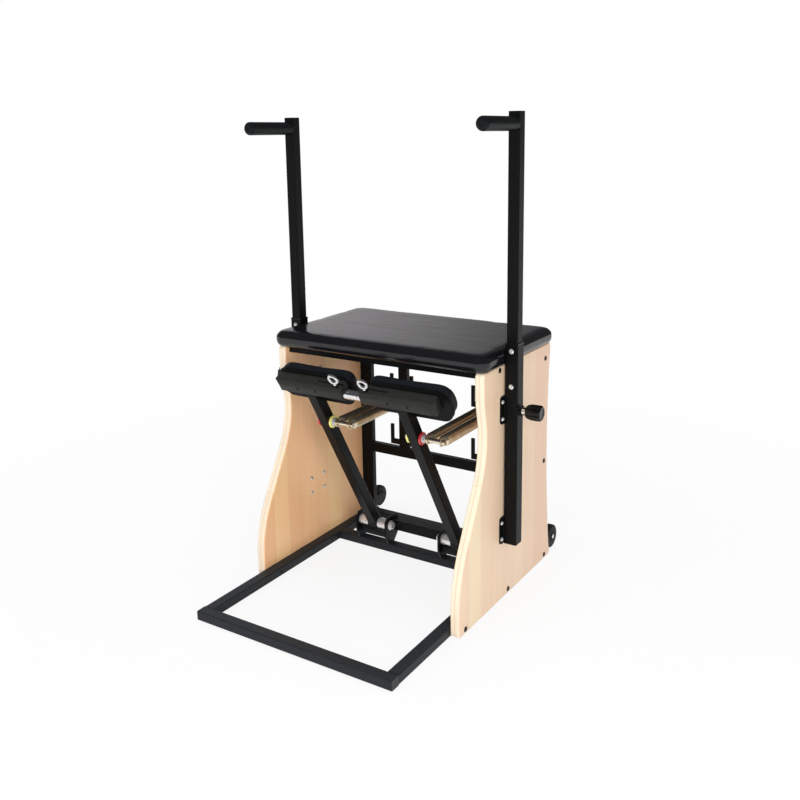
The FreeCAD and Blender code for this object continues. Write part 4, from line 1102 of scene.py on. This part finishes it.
@dataclass
class Pedals(SubAssembly):
    """The two pedal heads: rails, foot pads, ring pulls and the dowel between them."""

    pivot: Spot = (0, 0.14175, 0.080)
    lean: float = math.radians(30)
    rail_low: float = 0.531
    rail_high: float = 0.575
    rail_inner: float = 0.028
    rail_outer: float = 0.238
    rail_front: float = -0.022
    rail_back: float = 0.015
    rail_bevel: float = 0.011
    rail_flat: float = -0.014
    rail_end_bevel: float = 0.0125
    rail_edge: float = 0.0012
    rail_edge_angle: float = math.radians(25)
    slot_end: float = 0.107
    slot_low: Pair = (-0.002, 0.5690)
    slot_high: Pair = (0.003, 0.5790)
    screw_along: float = 0.556
    screw_places: Pair = (0.110, 0.166)
    screw_head: float = 0.0042
    screw_shares: Profile = (
        (-0.002, 0.9), (0, 1), (0.0008, 0.97), (0.0016, 0.8), (0.0018, 0.5), (0.0015, 0.46),
        (0.0004, 0.44))
    dowel_along: float = 0.549
    dowel_forward: float = -0.004
    dowel_radius: float = 0.0135
    dowel_start: float = -0.088
    dowel_end: float = 0.0276
    dowel_chamfer: float = 0.002
    grooves: Tuple[float, ...] = (-0.0165, -0.0055, 0.0055, 0.0165)
    groove_insets: Profile = ((-0.0022, 0), (-0.0014, 0.0012), (0.0014, 0.0012), (0.0022, 0))
    bore_gap: float = 0.00005
    bore_depth: float = 0.066
    lock_x: float = 0.0445
    lock_forward: float = -0.008
    lock_radius: float = 0.0035
    lock_nose: float = 0.5629
    nose_radius: float = 0.0026
    nose_chamfer: float = 0.0009
    neck_radius: float = 0.0032
    collar_gap: float = 0.0004
    collar: Profile = (
        (0, 0.0058), (0.0004, 0.0062), (0.0016, 0.0062), (0.0022, 0.0056), (0.0028, 0.0034))
    ring_middle: float = 0.5984
    ring_radius: float = 0.012
    ring_wire: float = 0.0042
    ring_steps: Tuple[int, int] = (48, 16)
    ring_socket: Profile = (
        (-0.0012, 0.0034), (-0.0012, 0.0042), (-0.0006, 0.0048), (0.001, 0.0048), (0.0026, 0.004),
        (0.0036, 0.0026))
    pad_low: Spot = (0.0255, 0.027, 0.4878)
    pad_high: Spot = (0.2605, 0.0570, 0.5765)
    pad_corner: float = 0.036
    pad_corner_steps: int = 10
    pad_inner_corner: float = 0.024
    pad_inner_steps: int = 8
    pad_shoulder: float = 0.010
    pad_shoulder_steps: int = 5
    cover: Cover = Cover(voxel=0.004, pressure=1.0, travel=0.002, smoothing=18)

    @property
    def arm(self) -> Matrix:
        """Where the arm's own frame stands: Z along the arm from its pivot, -Y forwards."""
        return Matrix.Translation(self.pivot) @ Matrix.Rotation(self.lean, 4, "X")

    @property
    def ring_foot(self) -> float:
        """How far up the arm a pull ring starts."""
        return self.ring_middle - self.ring_radius - self.ring_wire

    @property
    def lock_place(self) -> Matrix:
        """Where the right lock pin's axis stands in the arm's frame."""
        return at((self.lock_x, self.lock_forward, 0))

    def build(self) -> None:
        """Make the pieces of both pedals, the left ones as mirror images of the right ones."""
        for make, slot, name, node, body in (
                (self.rail, "pedal_rail", "foot_rail", "pedal_rail", "pedal"),
                (self.pad, "pedal_vinyl", "foot_pad", "pedal_cushion", "pedal"),
                (self.ring_pull, "chrome", "ring_pull", "lock_pin", "ring_pull"),
                (self.pull_shank, "dark_screw", "pull_shank", "", "ring_pull"),
                (self.rail_screws, "dark_screw", "rail_screws", "", "pedal")):
            right = laid(make(), self.arm)
            for side, piece in ((Side.RIGHT, right), (Side.LEFT, mirrored(right))):
                nodes = [f"{side.label}_{node}"] if node else []
                self.hand_in(f"{side.label}_{name}", piece, slot, nodes, f"{side.label}_{body}")
        dowel = laid(self.dowel(), self.arm)
        self.hand_in("ribbed_dowel", dowel, "chrome", ["link_dowel"], "pedal_link")

    def rail(self) -> Piece:
        """A bevelled bar with a slanted outer end, slotted and bored for dowel and lock pin.

        Returns:
            The rail in the arm's frame.
        """
        bar = box((self.rail_inner, self.rail_front, self.rail_low),
                  (self.rail_outer, self.rail_back, self.rail_high))
        bevel_edges(bar, lambda edge: along(edge, ACROSS) and lies_at(edge, DEEP, self.rail_front),
                    self.rail_bevel, 1)
        pick(bar, Pick.EDGES, lambda edge: along(edge, ACROSS)
             and lies_at(edge, UPRIGHT, self.rail_high) and middle_of(edge).y < 0)
        slide = self.rail_flat - (self.rail_front + self.rail_bevel)
        bpy.ops.transform.translate(value=(0, slide, 0))
        bpy.ops.object.mode_set(mode="OBJECT")
        bevel_edges(bar, lambda edge: along(edge, UPRIGHT) and lies_at(edge, DEEP, self.rail_front)
                    and lies_at(edge, ACROSS, self.rail_outer), self.rail_end_bevel, 1)
        pick(bar, Pick.CORNERS, lambda point: True)
        close_mesh()
        modified(bar, "BEVEL", width=self.rail_edge, segments=3, limit_method="ANGLE",
                 angle_limit=self.rail_edge_angle)
        bored(bar, box((self.rail_inner - self.rail_edge, *self.slot_low),
                       (self.slot_end, *self.slot_high)))
        wide = self.dowel_radius + self.bore_gap
        place = at((self.rail_inner, self.dowel_forward, self.dowel_along), Way.RIGHT)
        ends = (-self.rail_edge, self.bore_depth)
        bored(bar, turned([(end, wide) for end in ends], Round.DISC, place))
        narrow = self.lock_radius + self.bore_gap
        ends = (self.dowel_along, self.rail_high + self.rail_edge)
        steps = [(end, narrow) for end in ends]
        bored(bar, turned(steps, Round.PIN, self.lock_place))
        return bar

    def rail_screws(self) -> Piece:
        """The two low socket screws that hold a rail on its arm, in the arm's frame."""
        screw = turned(scaled(self.screw_shares, self.screw_head), Round.SCREW)
        return repeated(screw, [at((x, self.rail_front, self.screw_along), Way.FORWARD)
                                for x in self.screw_places])

    def pad(self) -> Piece:
        """A crowned foot pad, swollen under its cover and flat where it lies on its board.

        Returns:
            The pad in the arm's frame.
        """
        pad = box(self.pad_low, self.pad_high)
        inner, rest, _ = self.pad_low
        outer, back, _ = self.pad_high
        bevel_edges(pad, lambda edge: along(edge, DEEP) and lies_at(edge, ACROSS, outer),
                    self.pad_corner, self.pad_corner_steps)
        bevel_edges(pad, lambda edge: along(edge, DEEP) and lies_at(edge, ACROSS, inner),
                    self.pad_inner_corner, self.pad_inner_steps)
        bevel_edges(pad, lambda edge: lies_at(edge, DEEP, back), self.pad_shoulder,
                    self.pad_shoulder_steps)
        self.cover.stretch_over(pad)
        for point in pad.data.vertices:
            point.co.y = max(rest, point.co.y)
        return pad

    def ring_pull(self) -> Piece:
        """The pull ring of a lock pin, with a short socket where the pin enters it.

        Returns:
            The ring in the arm's frame.
        """
        place = at((self.lock_x, self.lock_forward, self.ring_middle), Way.FORWARD)
        ring = wire_ring(self.ring_radius, self.ring_wire, self.ring_steps, place)
        steps = raised(self.ring_socket, self.ring_foot)
        return joined([ring, turned(steps, Round.PIN, self.lock_place)])

    def pull_shank(self) -> Piece:
        """The blackened lock pin under a pull ring, with a collar on the rail.

        Returns:
            The pin in the arm's frame.
        """
        foot = self.rail_high + self.collar_gap
        nose = [(self.lock_nose, self.nose_radius),
                (self.lock_nose + self.nose_chamfer, self.lock_radius)]
        neck = [(foot, self.lock_radius), *raised(self.collar, foot),
                (self.ring_foot, self.neck_radius)]
        return turned(nose + neck, Round.PIN, self.lock_place)

    def dowel(self) -> Piece:
        """The plated dowel with turned grooves where it shows between the rails.

        Returns:
            The dowel in the arm's frame.
        """
        full, cut = self.dowel_radius, self.dowel_chamfer
        steps = [(self.dowel_start, full - cut), (self.dowel_start + cut, full)]
        for middle in self.grooves:
            steps += inset(self.groove_insets, full, middle)
        steps += [(self.dowel_end - cut, full), (self.dowel_end, full - cut)]
        place = at((0, self.dowel_forward, self.dowel_along), Way.RIGHT)
        return turned(steps, Round.DISC, place)


@dataclass
class Springs(SubAssembly):
    """The close-wound springs between the pedals and the hooks behind."""

    arm_x: float = 0.138
    offsets: Pair = (0.035, 0.073)
    front: float = -0.0590
    rear: float = 0.2810
    pin_y: float = -0.07025
    loop_radius: float = 0.0098
    loop_wire: float = 0.0020125
    loop_steps: Tuple[int, int] = (40, 12)
    cone_length: float = 0.009
    cone_fall: float = 0.0085
    cone_steps: int = 8
    cone_power: float = 1.6
    cone_ridge: float = 0.0011
    bend_start: float = -0.03725
    bend_end: float = 0.26375
    height: float = 0.44719
    coil_radius: float = 0.0125
    wire: float = 0.00175
    turns: int = 96
    steps: int = 20
    wire_sides: int = 8

    def build(self) -> None:
        """Make one hooked coil, copy it to its places and leave each pair unattached to any body.
        """
        coil = joined([self.coil(), self.cone(), self.loop()])
        for side in Side:
            middle = side.value * self.arm_x
            copies = [copied(coil, at((middle + offset, self.front, self.height)))
                      for offset in self.offsets]
            nodes = [f"{side.label}_springs", f"{side.label}_spring_front_plugs"]
            pair = self.hand_in(f"{side.label}_coils", joined(copies), "spring_wire", nodes, None)
            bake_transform(pair)
        bpy.data.objects.remove(coil)

    def cone(self) -> Piece:
        """The drawn-in turns at a coil's front end, towards the hook.

        Returns:
            The ridged cone, from the coil's front end forwards.
        """
        wide = self.coil_radius + self.wire
        steps = []
        for index in range(self.cone_steps + 1):
            fall = self.cone_fall * (index / self.cone_steps) ** self.cone_power
            radius = wide - fall - self.cone_ridge * (index % 2)
            steps.append((self.cone_length * index / self.cone_steps, radius))
        return turned(steps, Round.CONE, at((0, self.wire, 0), Way.FORWARD))

    def loop(self) -> Piece:
        """The round hook that a coil ends in, which lies round the spring pin."""
        place = at((0, self.pin_y - self.front, 0), Way.RIGHT)
        return wire_ring(self.loop_radius, self.loop_wire, self.loop_steps, place)

    def coil(self) -> Piece:
        """Wind one coil along +Y from the origin.

        Returns:
            The coil.
        """
        clear_selection()
        bpy.ops.mesh.primitive_circle_add(
            vertices=self.wire_sides, radius=self.wire, fill_type="NOTHING",
            location=(self.coil_radius, self.wire, 0))
        coil = settled()
        pitch = (self.rear - self.front - 2 * self.wire) / self.turns
        modified(coil, "SCREW", axis="Y", angle=math.tau, screw_offset=pitch, iterations=self.turns,
                 steps=self.steps, render_steps=self.steps, use_smooth_shade=True)
        pick(coil, Pick.EDGES, lambda edge: edge.is_boundary)
        bpy.ops.mesh.fill_holes(sides=self.wire_sides)
        close_mesh()
        return coil


@dataclass
class SpringPins(SubAssembly):
    """The pins that the springs hook on, with coloured caps and plated nuts at the arms."""

    bar: float = 0.006
    head: float = 0.0066
    head_height: float = 0.003
    head_shares: Profile = ((0, 0.85), (0.0008, 1))
    cap: float = 0.0165
    cap_bore_gap: float = 0.001
    cap_sink: float = 0.0005
    cap_insets: Profile = ((0.0005, 0.004), (0, 0.003), (0.0003, 0.001), (0.0012, 0))
    nut: float = 0.0092
    nut_height: float = 0.0055
    nut_foot_shares: Profile = ((0, 0.94), (0.0006, 1))
    nut_top_shares: Profile = ((-0.0006, 1), (0, 0.92))
    bar_end_shares: Profile = ((0, 1.02), (0.0015, 0.95))
    washer: float = 0.0118
    washer_height: float = 0.0012
    washer_foot_shares: Profile = ((-0.0006, 0.97), (0.0003, 1))
    washer_top_shares: Profile = ((-0.0003, 1), (0, 0.97))

    def build(self) -> None:
        """Make each pedal's pin, caps and nuts where the plain ones lie."""
        for side in Side:
            pedal = f"{side.label}_pedal"
            low, high = (Vector(corner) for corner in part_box(f"{side.label}_spring_pin"))
            axis = (low + high) / 2
            self.hand_in(f"{side.label}_hook_pin", self.pin(low.x, high.x, axis), "spring_wire",
                         [f"{side.label}_spring_pin"], pedal)
            nuts = []
            for colour in ("red", "yellow"):
                node = f"{side.label}_{colour}_cap"
                start, end = (corner[0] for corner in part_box(node))
                disc = laid(self.disc(end - start), at((start, axis.y, axis.z), Way.RIGHT))
                self.hand_in(f"{side.label}_{colour}_disc", disc, f"{colour}_cap", [node], pedal)
                rightmost = "yellow" if side is Side.LEFT else "red"
                face, outward = (end, Way.RIGHT) if colour == rightmost else (start, Way.LEFT)
                nuts.append(laid(self.lock_nut(), at((face, axis.y, axis.z), outward)))
            self.hand_in(f"{side.label}_pin_nuts", joined(nuts), "bright_steel", [], pedal)

    def pin(self, start: float, end: float, axis: Vector) -> Piece:
        """A round pin with a flat head at each end.

        Args:
            start: Where the pin starts across the chair.
            end: Where it ends.
            axis: A point on its axis.

        Returns:
            The pin.
        """
        height = self.head_height
        half = scaled(self.head_shares, self.head) + [(height, self.head), (height, self.bar)]
        steps = half + flipped(half, end - start)
        return turned(steps, Round.PIN, at((start, axis.y, axis.z), Way.RIGHT))

    def disc(self, thick: float) -> Piece:
        """A moulded colour disc with rounded rims and a sunk middle, along +Z."""
        half = [(self.cap_sink, self.bar + self.cap_bore_gap), *inset(self.cap_insets, self.cap, 0)]
        return turned(half + flipped(half, thick), Round.DISC)

    def lock_nut(self) -> Piece:
        """A washer and a six-sided nut, along +Z.

        Returns:
            Both as one piece.
        """
        foot = self.washer_height
        top = foot + self.nut_height
        washer = turned(scaled(self.washer_foot_shares, self.washer)
                        + scaled(self.washer_top_shares, self.washer, foot), Round.PIN)
        nut = turned(scaled(self.nut_foot_shares, self.nut, foot)
                     + scaled(self.nut_top_shares, self.nut, top)
                     + scaled(self.bar_end_shares, self.bar, top), Round.NUT)
        return joined([nut, washer])


@dataclass
class Handles(SubAssembly):
    """The clamp knobs and the bright fasteners on the handle sleeves."""

    post_x: float = 0.337
    post_y: float = 0.07275
    knob_z: float = 0.512
    knob_face: float = 0.3729
    knob_nose: float = 0.3524
    knob_radius: float = 0.020
    knob_length: float = 0.040
    knob_foot_insets: Profile = ((0, 0.005), (0.0015, 0.003), (0.009, 0.001), (0.013, 0))
    knob_end_insets: Profile = (
        (-0.004, 0), (-0.0015, 0.0012), (-0.0004, 0.0028), (0, 0.005), (-0.0006, 0.0062),
        (-0.0006, 0.019))
    knob_sides: int = 48
    knob_edge: float = 0.0006
    knob_edge_angle: float = math.radians(40)
    flutes: int = 8
    flute_half: float = 9.0
    flute_share: float = 0.87
    flute_depth: float = 0.0035
    stud_radius: float = 0.005
    stud_chamfer: float = 0.0008
    boss_radius: float = 0.0135
    boss_bore: float = 0.0112
    boss_start: float = 0.3545
    boss_length: float = 0.0075
    boss_foot_insets: Profile = ((0, -0.001), (0.001, 0))
    boss_end_insets: Profile = ((-0.001, 0), (-0.0003, 0.0003), (0, 0.001))
    bolt_radius: float = 0.003
    bolt_head: float = 0.0055
    bolt_head_height: float = 0.004
    bolt_inner: float = 0.291
    bolt_outer: float = 0.3195
    bolt_spread: float = 0.029
    bolt_rise: float = 0.022
    plate_levels: Pair = (0.514, 0.194)
    guide_levels: Pair = (0.664, 0.574)
    sleeve_front: float = 0.05525
    guide_head: float = 0.0066
    guide_head_height: float = 0.0032
    dome_foot: Profile = ((0, 0.97), (0.12, 1))
    dome_heights: Tuple[float, ...] = (0.35, 0.6, 0.8, 0.93)
    dome_fall: float = 0.8
    dome_socket: Profile = ((1, 0.448), (0.97, 0.4), (0.5, 0.384))

    def build(self) -> None:
        """Make both knobs and all the sleeve bolts."""
        knob = self.knob()
        for side in Side:
            place = at((side.value * self.knob_nose, self.post_y, self.knob_z), side.outward)
            self.hand_in(f"{side.label}_fluted_knob", copied(knob, place), "black_plastic",
                         [f"{side.label}_clamp_knob"], f"{side.label}_knob")
        bpy.data.objects.remove(knob)
        self.hand_in("knob_bosses", self.bosses(), "black_coat")
        self.hand_in("dome_bolts", self.bolts(), "bright_steel", ["sleeve_bolts"])

    def knob(self) -> Piece:
        """A fluted hand knob on its stud, along +Z from the stud's nose.

        Returns:
            The knob.
        """
        base = self.knob_face - self.knob_nose
        full, stud, cut = self.knob_radius, self.stud_radius, self.stud_chamfer
        steps = [(0, stud - cut), (cut, stud), (base, stud)]
        steps += inset(self.knob_foot_insets, full, base)
        steps += inset(self.knob_end_insets, full, base + self.knob_length)
        knob = turned(steps, self.knob_sides)
        pitch = 360 / self.flutes
        grip = full - self.flute_depth

        def in_flute(point: bmesh.types.BMVert) -> bool:
            """Whether a point lies in a flute of the grip."""
            turn = math.degrees(math.atan2(point.co.y, point.co.x)) % pitch
            return min(turn, pitch - turn) < self.flute_half and point.co.to_2d().length > grip

        pick(knob, Pick.CORNERS, in_flute)
        bpy.ops.transform.resize(value=(self.flute_share, self.flute_share, 1),
                                 center_override=(0, 0, 0))
        bpy.ops.object.mode_set(mode="OBJECT")
        return modified(knob, "BEVEL", width=self.knob_edge, segments=2, limit_method="ANGLE",
                        angle_limit=self.knob_edge_angle)

    def bosses(self) -> Piece:
        """The black rings welded round the foot of both knob collars.

        Returns:
            Both rings as one piece.
        """
        start, end = self.boss_start, self.boss_start + self.boss_length
        outside = inset(self.boss_foot_insets, self.boss_radius, start)
        outside += inset(self.boss_end_insets, self.boss_radius, end)
        steps = [(start, self.boss_bore), *outside, (end, self.boss_bore)]
        ring = turned(steps, Round.PIN, ring=True)
        return repeated(ring, [at((0, self.post_y, self.knob_z), way) for way in OUTWARDS])

    def dome(self, start: float, radius: float, height: float) -> List[Pair]:
        """The turning steps of a domed head with a socket in it.

        Args:
            start: Where its flat underside is.
            radius: The head's radius.
            height: The head's height.

        Returns:
            Steps of height and radius.
        """
        crown = [(share, math.sqrt(1 - share ** 2 * self.dome_fall)) for share in self.dome_heights]
        return [(start + height * up, radius * out)
                for up, out in (*self.dome_foot, *crown, *self.dome_socket)]

    def bolts(self) -> Piece:
        """The bolts through the sleeve plates, with dome nuts inside, and the screws of the guides.

        Returns:
            All of them as one piece.
        """
        nut = flipped(self.dome(0, self.bolt_head, self.bolt_head_height), self.bolt_inner)
        shank = [(self.bolt_inner, self.bolt_radius), (self.bolt_outer, self.bolt_radius)]
        head = self.dome(self.bolt_outer, self.bolt_head, self.bolt_head_height)
        bolt = turned(nut + shank + head, Round.SCREW)
        places = [at((0, self.post_y + aside, level + up), way)
                  for way in OUTWARDS for level in self.plate_levels
                  for aside in (-self.bolt_spread, self.bolt_spread)
                  for up in (-self.bolt_rise, self.bolt_rise)]
        through = repeated(bolt, places)
        screw = turned(self.dome(0, self.guide_head, self.guide_head_height), Round.SCREW)
        fronts = [at((side.value * self.post_x, self.sleeve_front, level), Way.FORWARD)
                  for side in Side for level in self.guide_levels]
        return joined([through, repeated(screw, fronts)])


@dataclass
class PanelScrews(SubAssembly):
    """The dark pan-headed screws in the side panels."""

    seat: float = 0.311
    head: float = 0.006
    head_shares: Profile = ((0, 0.96), (0.0004, 1))
    face: float = 0.316
    cap: float = 0.0070
    cap_height: float = 0.0018
    cap_foot_shares: Profile = ((0, 0.98), (0.0003, 1))
    cap_top_shares: Profile = ((-0.0009, 0.97), (-0.0003, 0.88), (0, 0.72))
    socket: float = 0.00252
    socket_shares: Profile = ((0, 1.1), (-0.0003, 1), (-0.0022, 0.95))
    places: Profile = (
        (0.31175, 0.589), (0.31175, 0.297), (0.03475, 0.618), (0.32375, 0.0125), (0.09175, 0.0125),
        (-0.14225, 0.0125))

    def build(self) -> None:
        """Make one pan-headed screw with a socket and set it in every hole."""
        rim = self.face + self.cap_height
        steps = scaled(self.head_shares, self.head, self.seat) + [(self.face, self.head)]
        steps += scaled(self.cap_foot_shares, self.cap, self.face)
        steps += scaled(self.cap_top_shares, self.cap, rim)
        steps += scaled(self.socket_shares, self.socket, rim)
        spots = [at((0, y, z), way) for way in OUTWARDS for y, z in self.places]
        screws = repeated(turned(steps, Round.SCREW), spots)
        self.hand_in("sunk_screws", screws, "dark_screw", ["panel_screws"])


@dataclass
class Wheels(SubAssembly):
    """The transport wheels behind the panels."""

    inner: float = 0.288
    wide: float = 0.022
    radius: float = 0.0335
    bore: float = 0.00605
    hub: float = 0.014
    hub_draft: float = 0.0006
    recess: float = 0.002
    axle_y: float = 0.39875
    axle_z: float = 0.036
    flank: Profile = (
        (0, 0.021), (0.0006, 0.022), (0.0006, 0.0245), (0, 0.0255), (0.0004, 0.0285),
        (0.0015, 0.0312), (0.0032, 0.0328), (0.005, 0.0335))
    grooves: Tuple[float, ...] = (0.0075, 0.011, 0.0145)
    groove_insets: Profile = ((-0.0009, 0), (-0.0006, 0.0008), (0.0006, 0.0008), (0.0009, 0))
    hub_cap: float = 0.008
    cap_foot_shares: Profile = ((-0.001, 0.98), (0.0004, 1))
    cap_top_shares: Profile = ((-0.0004, 0.97), (0.0011, 0.8), (0.00198, 0.5), (0.0022, 0.2))

    def build(self) -> None:
        """Turn one grooved wheel and one hub cap, and set them on both sides."""
        floor = self.wide - self.recess
        cap = turned(scaled(self.cap_foot_shares, self.hub_cap, floor)
                     + scaled(self.cap_top_shares, self.hub_cap, self.wide), Round.CONE)
        steps = [(0, self.bore), *self.flank]
        for middle in self.grooves:
            steps += inset(self.groove_insets, self.radius, middle)
        steps += [*flipped(self.flank, self.wide), (self.wide, self.hub),
                  (floor, self.hub - self.hub_draft), (floor, self.bore)]
        wheel = turned(steps, Round.WHEEL, ring=True)
        for side in Side:
            place = at((side.value * self.inner, self.axle_y, self.axle_z), side.outward)
            body = f"{side.label}_transport_wheel"
            self.hand_in(f"{side.label}_tyre", copied(wheel, place), "wheel_rubber",
                         [f"{side.label}_wheel"], body)
            self.hand_in(f"{side.label}_hub_cap", copied(cap, place), "bright_steel", [], body)
        bpy.data.objects.remove(wheel)
        bpy.data.objects.remove(cap)


@dataclass
class Welds(SubAssembly):
    """The weld beads where the frame's tubes and plates meet."""

    bead: float = 0.0019
    bead_end: float = 0.5
    ripple: float = 0.0035
    least_ripples: int = 3
    ripple_shares: Profile = ((0.35, 1), (0.85, 0.8))
    tube_top: float = 0.025
    cheek_y: Pair = (0.13375, 0.15975)
    cheek_x: Tuple[float, ...] = (0.085, 0.091, 0.185, 0.191)
    upright_x: Pair = (0.253, 0.289)
    upright_y: Pair = (0.29975, 0.31975)
    sleeve_x: float = 0.3195
    sleeve_y: Pair = (0.05525, 0.09025)
    plate_half: float = 0.031
    plate_levels: Pair = (0.514, 0.194)
    post_x: Pair = (0.125, 0.151)
    post_ends: Pair = (0.256, 0.584)

    def build(self) -> None:
        """Lay a bead along every joint line on both sides."""
        cheek, upright, post = (end - start for start, end in
                                (self.cheek_y, self.upright_x, self.post_x))
        lines = [((x, self.cheek_y[0], self.tube_top), cheek, Way.BACK) for x in self.cheek_x]
        lines += [((self.upright_x[0], y, self.tube_top), upright, Way.RIGHT)
                  for y in self.upright_y]
        lines += [((self.sleeve_x, y, level - self.plate_half), 2 * self.plate_half, Way.UP)
                  for level in self.plate_levels for y in self.sleeve_y]
        lines += [((self.post_x[0], self.upright_y[0], end), post, Way.RIGHT)
                  for end in self.post_ends]
        right = joined([self.run(length, at(start, way)) for start, length, way in lines])
        for side, piece in ((Side.RIGHT, right), (Side.LEFT, mirrored(right))):
            self.hand_in(f"{side.label}_weld_beads", piece, "black_coat")

    def run(self, length: float, place: Matrix) -> Piece:
        """One rippled bead, along +Z of its place.

        Args:
            length: The bead's length.
            place: Where the bead starts.

        Returns:
            The bead.
        """
        count = max(self.least_ripples, round(length / self.ripple))
        pitch = length / count
        tip = self.bead * self.bead_end
        steps = [(0.0, tip)]
        for index in range(count):
            steps += [(pitch * (index + on), self.bead * share) for on, share in self.ripple_shares]
        steps[-1] = (length, tip)
        return turned(steps, Round.BEAD, place)


@dataclass
class Studio:
    """The white floor, the soft lights and the camera."""

    eye: Spot = (1.274, -1.90625, 1.186)
    yaw: float = math.radians(32.7)
    pitch: float = math.radians(11.5)
    roll: float = math.radians(-0.9)
    sensor: float = 36
    lens: float = 40.815
    shift: float = -0.10
    floor_half: float = 40.0
    floor_matt: Colour = (0.86, 0.86, 0.86)
    floor_white: float = 0.86
    shadow_near: float = 0.7
    shadow_far: float = 2.2
    ambient: float = 0.5
    ambient_colour: Colour = (0.97, 0.985, 1.0)
    backdrop_way: Spot = (-0.87, 0.50, 0)
    backdrop_range: Pair = (0.74, 0.95)
    room_light: Pair = (0.09, 0.80)
    room_colour: Colour = (1, 0.965, 0.99)
    lamps: Tuple[Tuple[str, Spot, float, float], ...] = (
        ("key", (2.6, -2.7, 1.3), 72.0, 2.2), ("front", (1.1, -3.7, 0.7), 66.0, 2.0),
        ("fill", (-3.0, -2.6, 2.0), 36.0, 2.6), ("top", (0.2, 0.3, 3.4), 40.0, 2.2))
    target: Spot = (0, 0, 0.5)

    def build(self) -> None:
        """Set up the whole stage."""
        bpy.context.scene.view_settings.view_transform = "Standard"
        self.world()
        self.floor()
        for name, spot, power, width in self.lamps:
            self.lamp(name, spot, power, width)
        self.camera()

    @staticmethod
    def rays(sheet: NodeSheet) -> Tuple[Socket, Socket]:
        """Tell where a ray comes from.

        Args:
            sheet: The sheet to work on.

        Returns:
            Whether it comes from the camera, and whether by a mirror or through glass.
        """
        path = sheet.node("ShaderNodeLightPath").outputs
        mirror = sheet.math("MAXIMUM", path["Is Glossy Ray"], path["Is Transmission Ray"])
        return path["Is Camera Ray"], mirror

    def world(self) -> None:
        """Make a world that looks white, lights softly and mirrors a backdrop in a dim room."""
        world = bpy.data.worlds.new("studio")
        bpy.context.scene.world = world
        sheet = fresh_sheet(world)
        inputs = {0: sheet.coordinates("Generated"), 1: self.backdrop_way}
        facing = sheet.node("ShaderNodeVectorMath", inputs, operation="DOT_PRODUCT")
        room = sheet.ranged(facing.outputs["Value"], *self.backdrop_range, self.room_light,
                            "SMOOTHSTEP")
        soft, white, mirror = (
            sheet.node("ShaderNodeBackground", {"Color": colour, "Strength": strength}).outputs[0]
            for colour, strength in ((self.ambient_colour, self.ambient), (WHITE, 1.0),
                                     (self.room_colour, room)))
        from_camera, from_mirror = self.rays(sheet)
        mix = sheet.shaded(from_mirror, sheet.shaded(from_camera, soft, white), mirror)
        sheet.node("ShaderNodeOutputWorld", {"Surface": mix})

    def floor(self) -> None:
        """Lay a white floor that keeps a pale shadow."""
        clear_selection()
        bpy.ops.mesh.primitive_plane_add(size=2 * self.floor_half, location=(0, 0, 0))
        floor = bpy.context.object
        floor.name = "floor"
        material = bpy.data.materials.new("floor_white")
        sheet = fresh_sheet(material)
        matt = sheet.node("ShaderNodeBsdfDiffuse", {"Color": self.floor_matt}).outputs[0]
        white = sheet.node("ShaderNodeEmission", {"Color": WHITE, "Strength": 1.0}).outputs[0]
        away = sheet.node("ShaderNodeVectorMath", {0: sheet.coordinates()}, operation="LENGTH")
        bare = sheet.ranged(away.outputs["Value"], self.shadow_near, self.shadow_far,
                            (self.floor_white, 1.0))
        seen = sheet.math("MAXIMUM", *self.rays(sheet))
        mix = sheet.shaded(sheet.math("MULTIPLY", seen, bare), matt, white)
        sheet.node("ShaderNodeOutputMaterial", {"Surface": mix})
        floor.data.materials.append(material)

    def lamp(self, name: str, spot: Spot, power: float, width: float) -> None:
        """Hang one soft lamp that faces the chair.

        Args:
            name: The lamp's name.
            spot: Where it hangs.
            power: Its power in watts.
            width: The width of its square face.
        """
        clear_selection()
        bpy.ops.object.light_add(type="AREA", location=spot)
        lamp = bpy.context.object
        lamp.name = name
        lamp.data.energy = power
        lamp.data.size = width
        lamp.visible_glossy = False
        facing = Vector(self.target) - Vector(spot)
        lamp.rotation_euler = facing.to_track_quat("-Z", "Y").to_euler()

    def camera(self) -> None:
        """Stand the camera where the chair's perspective puts it."""
        clear_selection()
        bpy.ops.object.camera_add()
        camera = bpy.context.object
        ahead = Vector((-math.sin(self.yaw), math.cos(self.yaw), 0)) * math.cos(self.pitch)
        forward = ahead - Vector((0, 0, math.sin(self.pitch)))
        level = Vector((math.cos(self.yaw), math.sin(self.yaw), 0))
        upright = level.cross(forward)
        right = level * math.cos(self.roll) + upright * math.sin(self.roll)
        up = upright * math.cos(self.roll) - level * math.sin(self.roll)
        turn = Matrix((right, up, -forward)).transposed().to_4x4()
        camera.matrix_world = Matrix.Translation(self.eye) @ turn
        camera.data.sensor_width = self.sensor
        camera.data.lens = self.lens
        camera.data.shift_y = self.shift
        bpy.context.scene.camera = camera


def dress_frame(frame: Dict[str, Any], palette: Palette) -> None:
    """Give every CAD node the finish of its slot.

    Args:
        frame: The loaded frame.
        palette: The finishes.
    """
    for row in frame["record"]["subparts"]:
        palette.dress(frame["nodes"][row["node"]], row["material_slot"])
        LOG.info("%s dressed in %s", row["node"], row["material_slot"])


def main() -> None:
    """Load the frame, dress it, set up the studio and build every sub-assembly."""
    logging.basicConfig(level=logging.INFO, format="%(name)s: %(message)s")
    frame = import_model()
    palette = Palette()
    dress_frame(frame, palette)
    Studio().build()
    for kind in (Seat, Pedals, Springs, SpringPins, Handles, PanelScrews, Wheels, Welds):
        kind(palette).build()
    clear_selection()


if __name__ == "__main__":
    main()
